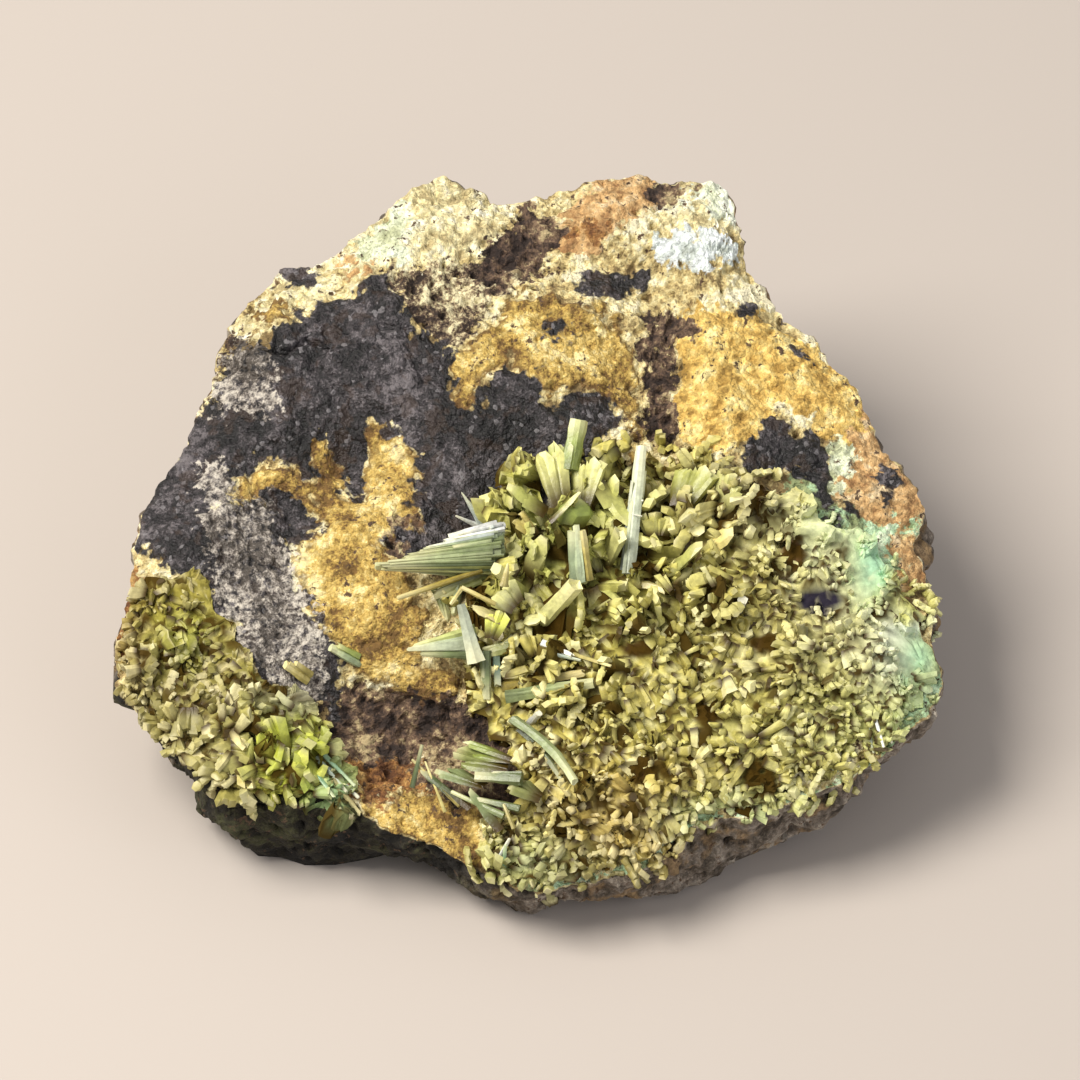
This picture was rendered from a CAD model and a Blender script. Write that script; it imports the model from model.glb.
# %% [markdown]
# # Raw pyromorphite
# A hand specimen: olive and green lead-phosphate crystals on a piece of iron- and manganese-stained
# rock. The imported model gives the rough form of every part. This script dresses each of them: the
# rock gets its broken relief and its stains, and the beds get more than a thousand small crystals.

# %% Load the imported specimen
import math
import random

import bmesh
import bpy
import numpy as np
from mathutils import Matrix, Vector, noise
from mathutils.bvhtree import BVHTree


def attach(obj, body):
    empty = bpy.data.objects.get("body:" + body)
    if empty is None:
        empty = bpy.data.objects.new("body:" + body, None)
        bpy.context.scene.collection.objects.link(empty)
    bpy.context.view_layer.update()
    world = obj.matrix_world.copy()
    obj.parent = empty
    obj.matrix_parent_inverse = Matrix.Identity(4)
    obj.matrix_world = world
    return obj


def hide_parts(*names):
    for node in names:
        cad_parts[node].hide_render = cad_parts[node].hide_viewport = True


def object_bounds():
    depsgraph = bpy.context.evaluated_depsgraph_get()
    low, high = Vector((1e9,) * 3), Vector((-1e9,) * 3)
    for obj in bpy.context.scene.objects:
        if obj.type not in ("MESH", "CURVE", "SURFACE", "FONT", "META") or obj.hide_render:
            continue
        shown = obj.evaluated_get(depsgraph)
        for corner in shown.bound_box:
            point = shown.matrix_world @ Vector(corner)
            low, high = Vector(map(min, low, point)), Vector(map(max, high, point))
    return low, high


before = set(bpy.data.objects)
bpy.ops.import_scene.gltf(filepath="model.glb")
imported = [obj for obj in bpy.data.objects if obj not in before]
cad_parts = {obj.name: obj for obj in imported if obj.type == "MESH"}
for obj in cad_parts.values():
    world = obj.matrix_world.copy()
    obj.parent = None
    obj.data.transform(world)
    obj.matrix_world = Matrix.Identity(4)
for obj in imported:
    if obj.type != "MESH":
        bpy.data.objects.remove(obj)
cad_low, cad_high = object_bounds()
print("packed parts:", ", ".join(sorted(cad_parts)))

# %% [markdown]
# ## Places on the face
# The showy face of the specimen leans towards the viewer. A place on it is easiest to give as it is
# looked at: x to the right and v up, in millimetres from the middle of the face. A ray from the
# viewer through that place then finds the surface, so nothing is left hanging in the air.

# %% Face coordinates
MM = 0.001
DISPLAY_ELEVATION = math.radians(47.0)
FACE_MIDDLE = Vector((0.15, -1.81, 20.0))
ACROSS = Vector((1.0, 0.0, 0.0))
UP_FACE = Vector((0.0, math.sin(DISPLAY_ELEVATION), math.cos(DISPLAY_ELEVATION)))
TO_VIEWER = Vector((0.0, -math.cos(DISPLAY_ELEVATION), math.sin(DISPLAY_ELEVATION)))
RAY_START = 80.0


def face_places(points):
    """x and v of many points, an array of millimetres with a row for each point."""
    away = points - np.array(FACE_MIDDLE)
    return np.stack([away @ np.array(ACROSS), away @ np.array(UP_FACE)], axis=1)


def on_face(x, v, out):
    """Point that is seen at (x, v) and stands out from the middle plane towards the viewer."""
    return FACE_MIDDLE + ACROSS * x + UP_FACE * v + TO_VIEWER * out


def out_of(point):
    """How far a point stands out from the middle plane towards the viewer."""
    return (point - FACE_MIDDLE).dot(TO_VIEWER)


def seen_surface(trees, x, v):
    """Point and normal of the surface that is seen at (x, v), or None beside all of them."""
    start = on_face(x, v, RAY_START)
    hits = [tree.ray_cast(start, -TO_VIEWER) for tree in trees]
    hits = [(distance, point, normal) for point, normal, _, distance in hits if point]
    return min(hits, key=lambda hit: hit[0])[1:] if hits else None


print("face middle, mm:", tuple(round(side, 2) for side in FACE_MIDDLE))

# %% [markdown]
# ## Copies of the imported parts
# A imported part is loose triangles, so a copy has its doubles merged before it is worked on. Work is
# done in millimetres, and a finished mesh is brought back to metres when it becomes an object.

# %% Copy, finish and place a mesh
MERGED_WITHIN = 0.002 * MM


def merged_copy(name):
    """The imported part's mesh as one skin, in millimetres."""
    bm = bmesh.new()
    bm.from_mesh(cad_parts[name].data)
    bmesh.ops.remove_doubles(bm, verts=bm.verts, dist=MERGED_WITHIN)
    bmesh.ops.scale(bm, vec=(1.0 / MM, 1.0 / MM, 1.0 / MM), verts=bm.verts)
    bm.normal_update()
    return bm


BOX_LOW = np.array(cad_low) / MM
BOX_HIGH = np.array(cad_high) / MM


def add_piece(mesh, name, material, replaced=()):
    """Object for a finished mesh in millimetres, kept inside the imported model's box."""
    points = np.empty(len(mesh.vertices) * 3)
    mesh.vertices.foreach_get("co", points)
    kept = np.clip(points.reshape(-1, 3), BOX_LOW, BOX_HIGH) * MM
    mesh.vertices.foreach_set("co", kept.ravel())
    mesh.name = name
    mesh.update()
    piece = bpy.data.objects.new(name, mesh)
    bpy.context.scene.collection.objects.link(piece)
    mesh.materials.append(material)
    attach(piece, "root")
    if replaced:
        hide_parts(*replaced)
    triangles = sum(len(face.vertices) - 2 for face in mesh.polygons)
    print(f"{name}: {triangles} triangles")
    return piece


def write_layer(mesh, name, values):
    """Store a number for each vertex, for the material to read."""
    layer = mesh.attributes.new(name, "FLOAT", "POINT")
    layer.data.foreach_set("value", np.asarray(values, np.float32))


print("box, mm:", [round(side, 1) for side in BOX_HIGH - BOX_LOW])

# %% [markdown]
# ## The map of stains
# Iron and manganese oxides lie on the rock in sharp patches: black goethite over the left half,
# yellow ochre in fingers and fields, cream and orange crusts along the top. Each patch is an outline
# in face coordinates. What is kept for each vertex is how far inside the outline it lies, so that
# the material can break the edge up with noise much finer than the mesh.

# %% Outlines of the patches
STAINS = {
    "black": [
        [(-28.5, 19.5), (-26.0, 20.5), (-23.4, 21.9), (-22.8, 23.0), (-19.4, 23.7), (-16.9, 25.8),
         (-15.0, 27.0), (-13.5, 24.0), (-11.3, 21.6), (-8.2, 19.4), (-7.9, 16.6), (-7.7, 13.8),
         (-5.4, 12.9), (-4.3, 14.0), (-4.8, 15.5), (-4.3, 16.6), (-2.6, 17.7), (-0.6, 16.8),
         (1.1, 15.2), (2.9, 13.7), (3.7, 14.4), (5.8, 14.7), (8.1, 14.1), (9.2, 13.2),
         (8.4, 11.7), (7.6, 9.4), (7.0, 6.5), (1.0, 3.0), (-3.0, 0.0), (-9.3, -1.6),
         (-14.7, -0.5), (-11.0, 0.6), (-11.3, 2.5), (-12.1, 5.3), (-11.3, 6.7), (-11.3, 7.9),
         (-13.8, 9.8), (-14.7, 12.1), (-16.1, 12.1), (-16.3, 9.5), (-16.9, 5.9), (-17.2, 3.3),
         (-18.9, 4.5), (-19.2, 7.6), (-20.6, 10.4), (-21.7, 11.2), (-22.5, 9.3), (-21.7, 7.3),
         (-20.8, 6.0), (-23.0, 6.2), (-23.4, 7.3), (-25.9, 7.9), (-29.8, 6.4), (-31.0, 3.0),
         (-31.5, -1.0), (-30.5, -6.0), (-33.5, -5.0), (-36.0, -2.2), (-39.6, -0.8), (-40.5, 3.0),
         (-38.0, 6.5), (-35.7, 8.6), (-34.4, 10.4), (-33.0, 12.6), (-31.8, 15.4), (-30.2, 18.6)],
        [(-26.6, 4.6), (-23.5, 4.2), (-20.6, 1.0), (-23.0, -0.4), (-26.6, 1.6)],
        [(-34.0, -2.0), (-30.0, -10.0), (-27.5, -14.0), (-24.0, -16.5), (-19.6, -17.4),
         (-18.2, -13.6), (-20.0, -10.0), (-22.4, -6.0), (-24.0, -3.0), (-24.0, 1.0),
         (-26.5, 3.6), (-30.0, 4.0)],
        [(4.2, 26.5), (6.0, 27.2), (9.0, 27.0), (12.0, 27.2), (12.5, 26.0), (10.0, 24.4),
         (7.5, 24.0), (5.5, 24.8)],
        [(1.4, 21.2), (2.2, 22.2), (3.8, 22.2), (4.4, 21.2), (3.6, 20.2), (2.0, 20.2)],
        [(20.5, 7.5), (22.5, 10.5), (23.5, 12.5), (24.8, 12.8), (26.8, 10.8), (28.5, 10.5),
         (29.0, 9.0), (29.4, 6.6), (29.8, 4.6), (32.2, 3.0), (30.6, 2.2),
         (28.6, 2.8), (27.3, 6.2), (26.0, 7.0), (23.0, 6.0), (21.5, 6.5)],
        [(34.2, 8.2), (35.6, 8.4), (37.2, 7.2), (36.8, 5.6), (36.2, 4.2), (35.4, 4.4), (35.4, 6.4)],
        [(-26.6, 27.8), (-24.4, 27.9), (-21.6, 27.2), (-22.4, 26.0), (-25.6, 26.2)],
        [(26.5, 19.4), (27.6, 19.4), (27.8, 18.4), (26.6, 18.4)],
        [(21.0, 23.4), (22.6, 23.4), (22.6, 22.6), (21.0, 22.6)],
    ],
    "ochre": [
        [(-29.5, 6.3), (-27.0, 7.3), (-25.0, 7.5), (-23.4, 6.2), (-21.0, 5.6), (-21.8, 7.4),
         (-22.5, 9.3), (-21.7, 11.2), (-20.6, 10.4), (-19.2, 7.6), (-18.9, 4.5), (-17.2, 3.3),
         (-16.9, 5.9), (-16.3, 9.5), (-16.1, 12.1), (-14.7, 12.1), (-13.8, 9.8), (-11.3, 7.9),
         (-11.3, 6.7), (-12.1, 5.3), (-11.3, 2.5), (-11.0, 0.6), (-14.7, -0.5), (-14.0, -2.5),
         (-11.5, -5.0), (-11.0, -7.8), (-12.0, -10.9), (-9.0, -12.5), (-7.0, -14.0),
         (-6.6, -16.4), (-10.0, -16.2), (-13.3, -13.6), (-15.5, -14.0), (-16.9, -13.4),
         (-19.7, -10.9), (-21.1, -9.5), (-21.1, -7.2), (-22.2, -5.3), (-23.6, -3.0),
         (-23.6, -0.2), (-20.8, 1.2), (-22.2, 3.5), (-23.6, 4.2), (-26.5, 4.0), (-29.5, 3.7)],
        [(-7.5, 17.5), (-6.5, 19.5), (-3.5, 22.0), (-1.5, 24.4), (2.0, 25.0), (6.0, 23.5),
         (9.0, 21.5), (10.5, 18.0), (11.0, 14.0), (11.0, 10.5), (10.0, 8.0), (9.5, 9.0),
         (9.2, 13.0), (8.0, 14.6), (5.8, 15.2), (3.7, 15.0), (2.9, 14.2), (1.0, 15.8),
         (-0.6, 17.3), (-2.6, 18.2), (-4.3, 17.0), (-4.8, 15.5), (-4.3, 14.0), (-5.4, 12.6),
         (-7.9, 13.5)],
        [(-17.8, -25.0), (-14.0, -26.0), (-11.0, -25.0), (-8.0, -25.6), (-5.0, -27.6),
         (-3.0, -31.0), (-4.0, -34.0), (-9.0, -31.4), (-13.5, -29.4), (-18.0, -28.4)],
        [(-27.5, 22.0), (-26.0, 24.3), (-24.0, 24.0), (-24.0, 21.6)],
    ],
    "gold": [
        [(14.6, 22.6), (19.0, 23.6), (25.0, 21.6), (30.0, 18.4), (34.0, 14.4), (35.6, 11.0),
         (31.6, 9.2), (28.5, 11.5), (25.0, 13.0), (23.0, 10.5), (20.5, 8.5), (17.0, 9.0),
         (14.5, 11.0), (14.0, 14.0), (15.0, 17.0), (14.0, 19.5)],
    ],
    "cream": [
        [(-21.0, 26.6), (-16.5, 27.4), (-13.5, 27.6), (-10.0, 28.2), (-6.5, 28.4), (-4.0, 29.2),
         (-2.6, 31.0), (-1.0, 34.0), (-6.5, 36.4), (-9.0, 38.0), (-12.0, 36.4), (-16.0, 32.4),
         (-21.5, 28.2)],
        [(-29.6, 19.6), (-27.0, 21.0), (-23.6, 22.6), (-22.8, 23.6), (-19.4, 24.4),
         (-17.0, 26.2), (-21.0, 26.6), (-25.0, 26.0), (-29.4, 22.6)],
        [(13.5, 35.5), (15.0, 37.2), (19.0, 37.0), (22.4, 33.2), (21.0, 31.0), (16.0, 31.1),
         (12.0, 32.0), (12.2, 33.8)],
    ],
    "pale_green": [
        [(-17.4, 28.2), (-13.0, 28.4), (-12.0, 31.0), (-12.6, 34.4), (-14.8, 33.0), (-17.6, 30.0)],
        [(16.6, 36.4), (19.0, 36.6), (22.0, 33.0), (20.6, 31.8), (18.0, 32.6), (16.0, 34.4)],
        [(28.8, 8.6), (29.6, 10.2), (32.4, 10.0), (33.2, 8.0), (32.4, 6.0), (31.6, 4.4), (29.6, 5.2)],
    ],
    "breccia": [
        [(-16.4, 27.8), (-12.0, 27.6), (-6.0, 27.8), (-3.0, 29.5), (0.5, 31.0), (1.5, 27.5),
         (0.0, 25.5), (-3.5, 24.5), (-5.5, 21.5), (-8.0, 19.5), (-11.0, 21.6), (-13.5, 24.0),
         (-15.0, 26.5)],
        [(-34.8, 9.4), (-33.6, 13.4), (-31.6, 18.0), (-30.0, 21.4), (-28.8, 20.6), (-30.9, 16.6),
         (-32.8, 12.4), (-34.2, 9.0)],
    ],
    "orange": [
        [(2.0, 30.5), (4.0, 33.0), (6.0, 35.8), (9.0, 38.0), (13.0, 38.0), (13.6, 35.5),
         (12.0, 33.5), (9.0, 31.5), (6.0, 29.3), (3.5, 28.8)],
        [(32.5, 11.6), (34.0, 12.6), (36.5, 8.6), (39.6, 6.0), (41.0, 2.5), (39.6, 1.2),
         (36.0, 1.0), (33.4, 1.4), (32.0, 3.6), (31.6, 6.0), (32.4, 8.0)],
        [(35.8, 0.4), (38.6, 0.2), (39.0, -0.4), (40.8, -3.6), (39.6, -5.0), (36.6, -5.2),
         (35.4, -2.6)],
        [(-19.6, 28.4), (-16.4, 28.2), (-16.2, 27.4), (-19.4, 27.2)],
    ],
    "brown": [
        [(-20.5, -16.4), (-17.0, -14.5), (-12.0, -14.6), (-8.0, -16.0), (-4.0, -16.5),
         (-1.0, -18.5), (-1.0, -21.5), (-4.0, -23.2), (-8.0, -22.4), (-12.0, -22.6),
         (-15.0, -24.0), (-18.5, -24.5), (-20.5, -21.0)],
        [(-12.4, -22.2), (-8.0, -21.4), (-3.6, -22.2), (-0.6, -21.4), (-0.8, -27.0),
         (-3.4, -28.4), (-6.0, -26.8), (-9.0, -25.1), (-11.4, -24.6)],
        [(11.0, 22.3), (13.5, 22.5), (17.0, 21.5), (16.5, 20.3), (14.0, 19.5), (14.5, 17.0),
         (14.0, 14.0), (15.5, 11.0), (14.5, 9.6), (12.0, 9.8), (11.2, 12.0), (11.4, 16.0),
         (11.8, 19.0)],
        [(-6.0, 28.2), (-4.0, 30.5), (-1.0, 33.0), (2.0, 32.5), (4.0, 31.0), (2.0, 29.0),
         (1.0, 26.5), (-2.0, 25.5), (-4.5, 26.0)],
        [(12.3, 35.8), (14.5, 36.4), (16.2, 35.4), (15.0, 33.8), (12.5, 33.8)],
        [(21.5, 6.0), (24.0, 5.5), (24.5, 3.0), (22.5, 2.2), (21.3, 3.8)],
        [(-13.5, 1.0), (-10.5, 1.4), (-7.0, 0.6), (-6.0, -1.4), (-10.0, -2.0), (-14.4, -1.0)],
    ],
    "rust": [
        [(-18.0, -22.5), (-14.0, -21.8), (-11.0, -22.3), (-10.0, -25.0), (-14.0, -26.2),
         (-18.0, -25.6)],
        [(-42.0, -2.0), (-39.0, -3.0), (-37.6, -5.5), (-39.0, -12.0), (-42.0, -13.0)],
        [(3.6, 30.6), (6.6, 31.0), (8.4, 32.0), (6.6, 32.4), (4.4, 31.8)],
    ],
    "white": [
        [(12.0, 28.6), (12.5, 30.3), (15.0, 30.8), (18.0, 30.3), (20.5, 29.4), (20.5, 27.9),
         (17.5, 27.2), (14.0, 27.2)],
    ],
    "frost": [
        [(-33.5, 7.0), (-29.8, 6.6), (-29.5, 3.5), (-26.5, 4.0), (-26.0, 0.0), (-23.8, -0.5),
         (-23.6, -3.0), (-22.4, -5.5), (-21.0, -10.0), (-20.0, -12.5), (-20.5, -15.6),
         (-24.0, -16.0), (-27.0, -12.5), (-29.4, -10.0), (-30.8, -7.0), (-32.5, -2.0),
         (-32.5, 2.0)],
        [(-25.8, 13.4), (-30.6, 12.4), (-32.2, 14.6), (-30.0, 19.6), (-27.4, 20.0), (-25.2, 17.4)],
    ],
    "mint": [
        [(-3.0, -36.0), (8.0, -36.6), (13.0, -34.6), (17.0, -31.0), (29.0, -28.4), (35.0, -25.4),
         (42.0, -19.0), (42.0, -12.0), (39.0, -13.0), (37.0, -19.0), (33.0, -22.6), (28.0, -25.4),
         (20.0, -27.0), (15.0, -28.4), (11.0, -31.6), (6.0, -33.4), (0.0, -34.2)],
        [(26.0, 6.0), (29.0, 6.0), (31.5, 3.2), (33.5, 1.8), (35.8, 0.8), (36.3, -1.5),
         (35.3, -4.5), (37.5, -7.0), (36.0, -9.0), (33.0, -7.0), (30.5, -3.0), (28.0, 0.0),
         (26.0, 3.0)],
        [(34.0, 1.2), (36.0, 2.4), (39.6, 2.2), (40.4, 0.8), (37.4, 0.6), (35.8, -0.4)],
    ],
}
print("stain patches:", sum(len(outlines) for outlines in STAINS.values()))

# %% Depth inside an outline


def depth_inside(outline, places):
    """How far each place lies inside a closed outline, in millimetres, and minus that outside."""
    nearest = np.full(len(places), np.inf)
    inside = np.zeros(len(places), bool)
    corners = np.array(outline)
    for (x0, v0), (x1, v1) in zip(corners, np.roll(corners, -1, axis=0)):
        side = np.array([x1 - x0, v1 - v0])
        away = places - np.array([x0, v0])
        share = np.clip(away @ side / (side @ side), 0.0, 1.0)
        gap = away - share[:, None] * side
        nearest = np.minimum(nearest, np.hypot(gap[:, 0], gap[:, 1]))
        crosses = (v0 > places[:, 1]) != (v1 > places[:, 1])
        if v0 != v1:
            at = x0 + (places[:, 1] - v0) * (x1 - x0) / (v1 - v0)
            inside ^= crosses & (places[:, 0] < at)
    return np.where(inside, nearest, -nearest)


def stain_depth(name, places):
    """How far each place lies inside the nearest patch of one stain."""
    return np.max([depth_inside(outline, places) for outline in STAINS[name]], axis=0)


# the lower edge of the face, below which the broken wall begins; the rest runs outside the rim
FACE_EDGE = [
    (-50.0, -12.0), (-42.0, -13.5), (-40.8, -15.6), (-37.2, -19.6), (-34.0, -22.8), (-30.0, -25.0),
    (-22.0, -25.2), (-17.6, -26.4), (-13.5, -29.0), (-9.0, -31.2), (-5.0, -33.2), (0.0, -35.6),
    (7.0, -35.2), (12.0, -33.4), (16.0, -29.8), (21.0, -28.6), (28.5, -26.8), (34.4, -24.0),
    (37.8, -21.2), (40.6, -17.6), (41.2, -15.0), (50.0, -12.0), (50.0, 50.0), (-50.0, 50.0)]
print("corners of the face's edge:", len(FACE_EDGE))

# %% [markdown]
# ## Material helpers
# Colours are written as sRGB hex values, as a paint chart gives them, and turned to the linear
# values that the renderer mixes. One small function adds a node with its settings and its links.

# %% Colours and nodes


def colour(hex_value):
    """Linear RGBA of an sRGB hex value such as #C9A03A."""
    parts = [int(hex_value[i:i + 2], 16) / 255.0 for i in (1, 3, 5)]
    linear = [p / 12.92 if p <= 0.04045 else ((p + 0.055) / 1.055) ** 2.4 for p in parts]
    return (*linear, 1.0)


def add_node(tree, kind, inputs=None, **settings):
    """A node with its settings, and with each named input linked or set."""
    made = tree.nodes.new(kind)
    for name, value in settings.items():
        setattr(made, name, value)
    for name, value in (inputs or {}).items():
        if isinstance(value, bpy.types.NodeSocket):
            tree.links.new(value, made.inputs[name])
        else:
            made.inputs[name].default_value = value
    return made


def new_material(name):
    """A material with its own Principled shader, and the places that its patterns are drawn in."""
    material = bpy.data.materials.new(name)
    material.use_nodes = True
    tree = material.node_tree
    place = add_node(tree, "ShaderNodeTexCoord").outputs["Object"]
    return material, tree, tree.nodes["Principled BSDF"], place


def grains(tree, place, size, detail=5.0, roughness=0.6, seed=0.0):
    """Cloudy values about 0.5 whose lumps have the given size in millimetres."""
    moved = add_node(tree, "ShaderNodeMapping", {"Vector": place, "Location": (seed, seed, seed)})
    made = add_node(tree, "ShaderNodeTexNoise", {
        "Vector": moved.outputs["Vector"], "Scale": 1.0 / (size * MM),
        "Detail": detail, "Roughness": roughness})
    return made.outputs["Fac"]


def combine(tree, operation, first, second):
    """Two numbers put together by a sum, product or comparison."""
    made = add_node(tree, "ShaderNodeMath", {0: first, 1: second}, operation=operation)
    return made.outputs["Value"]


def rise(tree, value, low, high, bottom=0.0, top=1.0):
    """A smooth step from bottom to top as the value goes from low to high."""
    made = add_node(tree, "ShaderNodeMapRange", {
        "Value": value, "From Min": low, "From Max": high, "To Min": bottom, "To Max": top},
        interpolation_type="SMOOTHSTEP")
    return made.outputs["Result"]


def tinted(tree, value, colours, low=0.3, high=0.7):
    """Colours spread evenly over the values from low to high."""
    ramp = add_node(tree, "ShaderNodeValToRGB", {"Fac": value})
    stops = ramp.color_ramp.elements
    while len(stops) < len(colours):
        stops.new(0.5)
    for step, (stop, shade) in enumerate(zip(stops, colours)):
        stop.position = low + (high - low) * step / (len(colours) - 1)
        stop.color = colour(shade)
    return ramp.outputs["Color"]


def layered(tree, under, over, cover):
    """One colour laid over another where the cover is 1."""
    made = add_node(tree, "ShaderNodeMix", {0: cover, 6: under, 7: over}, data_type="RGBA")
    return made.outputs[2]


def mixed_value(tree, under, over, cover):
    """One number laid over another where the cover is 1."""
    made = add_node(tree, "ShaderNodeMix", {0: cover, 2: under, 3: over}, data_type="FLOAT")
    return made.outputs[0]


print("middle grey is linear", round(colour("#808080")[0], 3))

# %% [markdown]
# ## The matrix
# The matrix is broken rock on a sawn base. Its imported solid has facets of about 3 mm. The copy is
# divided finely, smoothed a little, and pushed in and out along its normals: angular lumps on the
# broken walls, round bumps on the black coating, and a crumbly grain on the ochre.

# %% Divide and smooth the matrix
MATRIX_CUTS = 7
MATRIX_SMOOTHING = 7
KEPT_CORNERS = 0.35
BASE_SKIN = 0.2
TOP_LEANS = (0.2, 0.5)

rock_bm = merged_copy("matrix")
bmesh.ops.subdivide_edges(rock_bm, edges=rock_bm.edges[:], cuts=MATRIX_CUTS, use_grid_fill=True)
loose = [vert for vert in rock_bm.verts if vert.co.z > BASE_SKIN]
sharp = [vert.co.copy() for vert in loose]
for _ in range(MATRIX_SMOOTHING):
    bmesh.ops.smooth_vert(rock_bm, verts=loose, factor=0.5, use_axis_x=True, use_axis_y=True,
                          use_axis_z=True)
for vert, corner in zip(loose, sharp):
    vert.co = vert.co.lerp(corner, KEPT_CORNERS)
rock_bm.normal_update()
rock_mesh = bpy.data.meshes.new("rock")
rock_bm.to_mesh(rock_mesh)
rock_bm.free()
print("rock vertices:", len(rock_mesh.vertices))

# %% Read the rock's points and stains


def vertex_arrays(mesh):
    """Points and normals of a mesh, a row for each vertex."""
    points = np.empty(len(mesh.vertices) * 3)
    normals = np.empty(len(mesh.vertices) * 3)
    mesh.vertices.foreach_get("co", points)
    mesh.vertices.foreach_get("normal", normals)
    return points.reshape(-1, 3), normals.reshape(-1, 3)


def soft_step(low, high, values):
    """Nought below low, one above high, and a smooth rise between them."""
    share = np.clip((values - low) / (high - low), 0.0, 1.0)
    return share * share * (3.0 - 2.0 * share)


def noise_at(points, size, seed=0.0):
    """Smooth noise from about -1 to 1 at every point, with lumps of one size in millimetres."""
    offset = Vector((seed, seed * 0.7, seed * 1.3))
    return np.array([noise.noise(Vector(p) / size + offset) for p in points]) * 2.0


def rough_noise_at(points, size, seed=0.0):
    """Noise of four sizes at once, from the given one down to a tenth of it."""
    offset = Vector((seed, seed * 1.7, seed * 0.4))
    return np.array([noise.fractal(Vector(p) / size + offset, 0.5, 2.1, 4) for p in points])


def cell_bumps(points, size):
    """Round bumps with creases between them, from 0 in a crease to about 1 on a bump."""
    nearest = np.array([noise.voronoi(Vector(p) / size)[0][0] for p in points])
    return np.clip(1.0 - nearest * nearest * 2.2, 0.0, 1.0)


def cell_edges(points, size):
    """Broken plates: 0 along the cracks between them and up to 1 inside one."""
    gaps = np.array([noise.voronoi(Vector(p) / size)[0][:2] for p in points])
    return np.clip((gaps[:, 1] - gaps[:, 0]) * 2.0, 0.0, 1.0)


# how far noise moves the edge of the face and of each stain, in millimetres, and its lumps' sizes
EDGE_WARP = 0.5
STAIN_WARP = 1.0
WANDER = 1.1
WARP_LUMPS = 3.2
WANDER_LUMPS = 2.0
FACE_FADE = (-0.4, 0.5)
OFF_FACE = 6.0

rock_points, rock_normals = vertex_arrays(rock_mesh)
rock_places = face_places(rock_points)
warp = np.stack([rough_noise_at(rock_points, WARP_LUMPS, seed) for seed in (1.0, 2.0)], axis=1)
face_depth = depth_inside(FACE_EDGE, rock_places + EDGE_WARP * warp)
upward = soft_step(*TOP_LEANS, rock_normals[:, 2]) * soft_step(*FACE_FADE, face_depth)
stains = {}
for step, name in enumerate(STAINS):
    wander = rough_noise_at(rock_points, WANDER_LUMPS, 10.0 + step)
    depth = stain_depth(name, rock_places + STAIN_WARP * warp) + WANDER * wander
    stains[name] = depth - (1.0 - upward) * OFF_FACE
print("share of the rock that faces up:", round(float(upward.mean()), 2))

# %% Covers and lines on the rock
CRACK = [(-26.8, 19.4), (-24.5, 18.8), (-23.4, 19.6), (-22.2, 20.1), (-20.6, 19.4), (-19.9, 18.9)]
CRACK_WIDTH = 0.35
CRACK_DEPTH = 0.7
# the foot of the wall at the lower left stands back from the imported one
SET_BACK = [(-40.2, -18.8), (-38.0, -22.0), (-35.6, -25.4)]
SET_BACK_WIDTH = 3.4
SET_BACK_DEPTH = 1.9
EDGE_OF_COVER = 0.8


def cover(name):
    """How fully one stain covers each vertex, from 0 to 1."""
    return soft_step(-EDGE_OF_COVER, EDGE_OF_COVER, stains[name])


def line_nearness(path, places, width):
    """One on a line through the given places, and nought beyond its width."""
    nearest = np.full(len(places), np.inf)
    for start, end in zip(path, path[1:]):
        side = np.array(end) - np.array(start)
        away = places - np.array(start)
        share = np.clip(away @ side / (side @ side), 0.0, 1.0)
        gap = away - share[:, None] * side
        nearest = np.minimum(nearest, np.hypot(gap[:, 0], gap[:, 1]))
    return 1.0 - soft_step(0.0, width, nearest)


black, ochre, cream, gold, white, brown = (
    cover(name) for name in ("black", "ochre", "cream", "gold", "white", "brown"))
crusty = np.clip(cover("breccia") + cover("frost") + brown + cream, 0.0, 1.0)
powdery = np.clip(ochre + gold + cream, 0.0, 1.0)
powdery = np.clip(powdery + cover("orange"), 0.0, 1.0)
walls = 1.0 - upward
print("share of black coat:", round(float(black.mean()), 2))

# %% Relief of the rock
# each noise has its own lump size in millimetres, and a seed that keeps it apart from the others
lumps = noise_at(rock_points, 3.6)
crags = 0.5 - np.abs(noise_at(rock_points, 2.3, 3.0))
ridges = 0.4 - np.abs(noise_at(rock_points, 1.25, 5.0))
grit = noise_at(rock_points, 0.8, 7.0)
pits = np.clip(noise_at(rock_points, 1.0, 9.0) - 0.45, 0.0, 1.0)
plates = cell_edges(rock_points, 5.0)
bumps = cell_bumps(rock_points, 1.7)
small_bumps = cell_bumps(rock_points + 20.0, 0.95)

# heights in millimetres: crags, ridges, grit and pits on bare crust, and round bumps on black
rough = (0.30 - 0.17 * powdery) * crags + (0.26 - 0.16 * powdery) * ridges + 0.12 * grit
rough -= (0.9 - 0.5 * powdery) * pits
smooth = 0.12 * crags + 0.30 * bumps + 0.14 * small_bumps + 0.06 * grit
relief = 0.25 * lumps + rough * (1.0 - black) + smooth * black
relief = relief * (1.0 - 0.6 * white) + 0.5 * white
relief += 0.35 * ochre + 0.2 * gold - 0.2 * brown
relief += crusty * (0.12 * ridges + 0.12 * grit)
relief -= SET_BACK_DEPTH * line_nearness(SET_BACK, rock_places, SET_BACK_WIDTH) * walls
relief += walls * (0.3 * (plates - 0.5) + 0.1 * crags + 0.25 * lumps)
relief -= CRACK_DEPTH * line_nearness(CRACK, rock_places, CRACK_WIDTH) * upward
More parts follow.
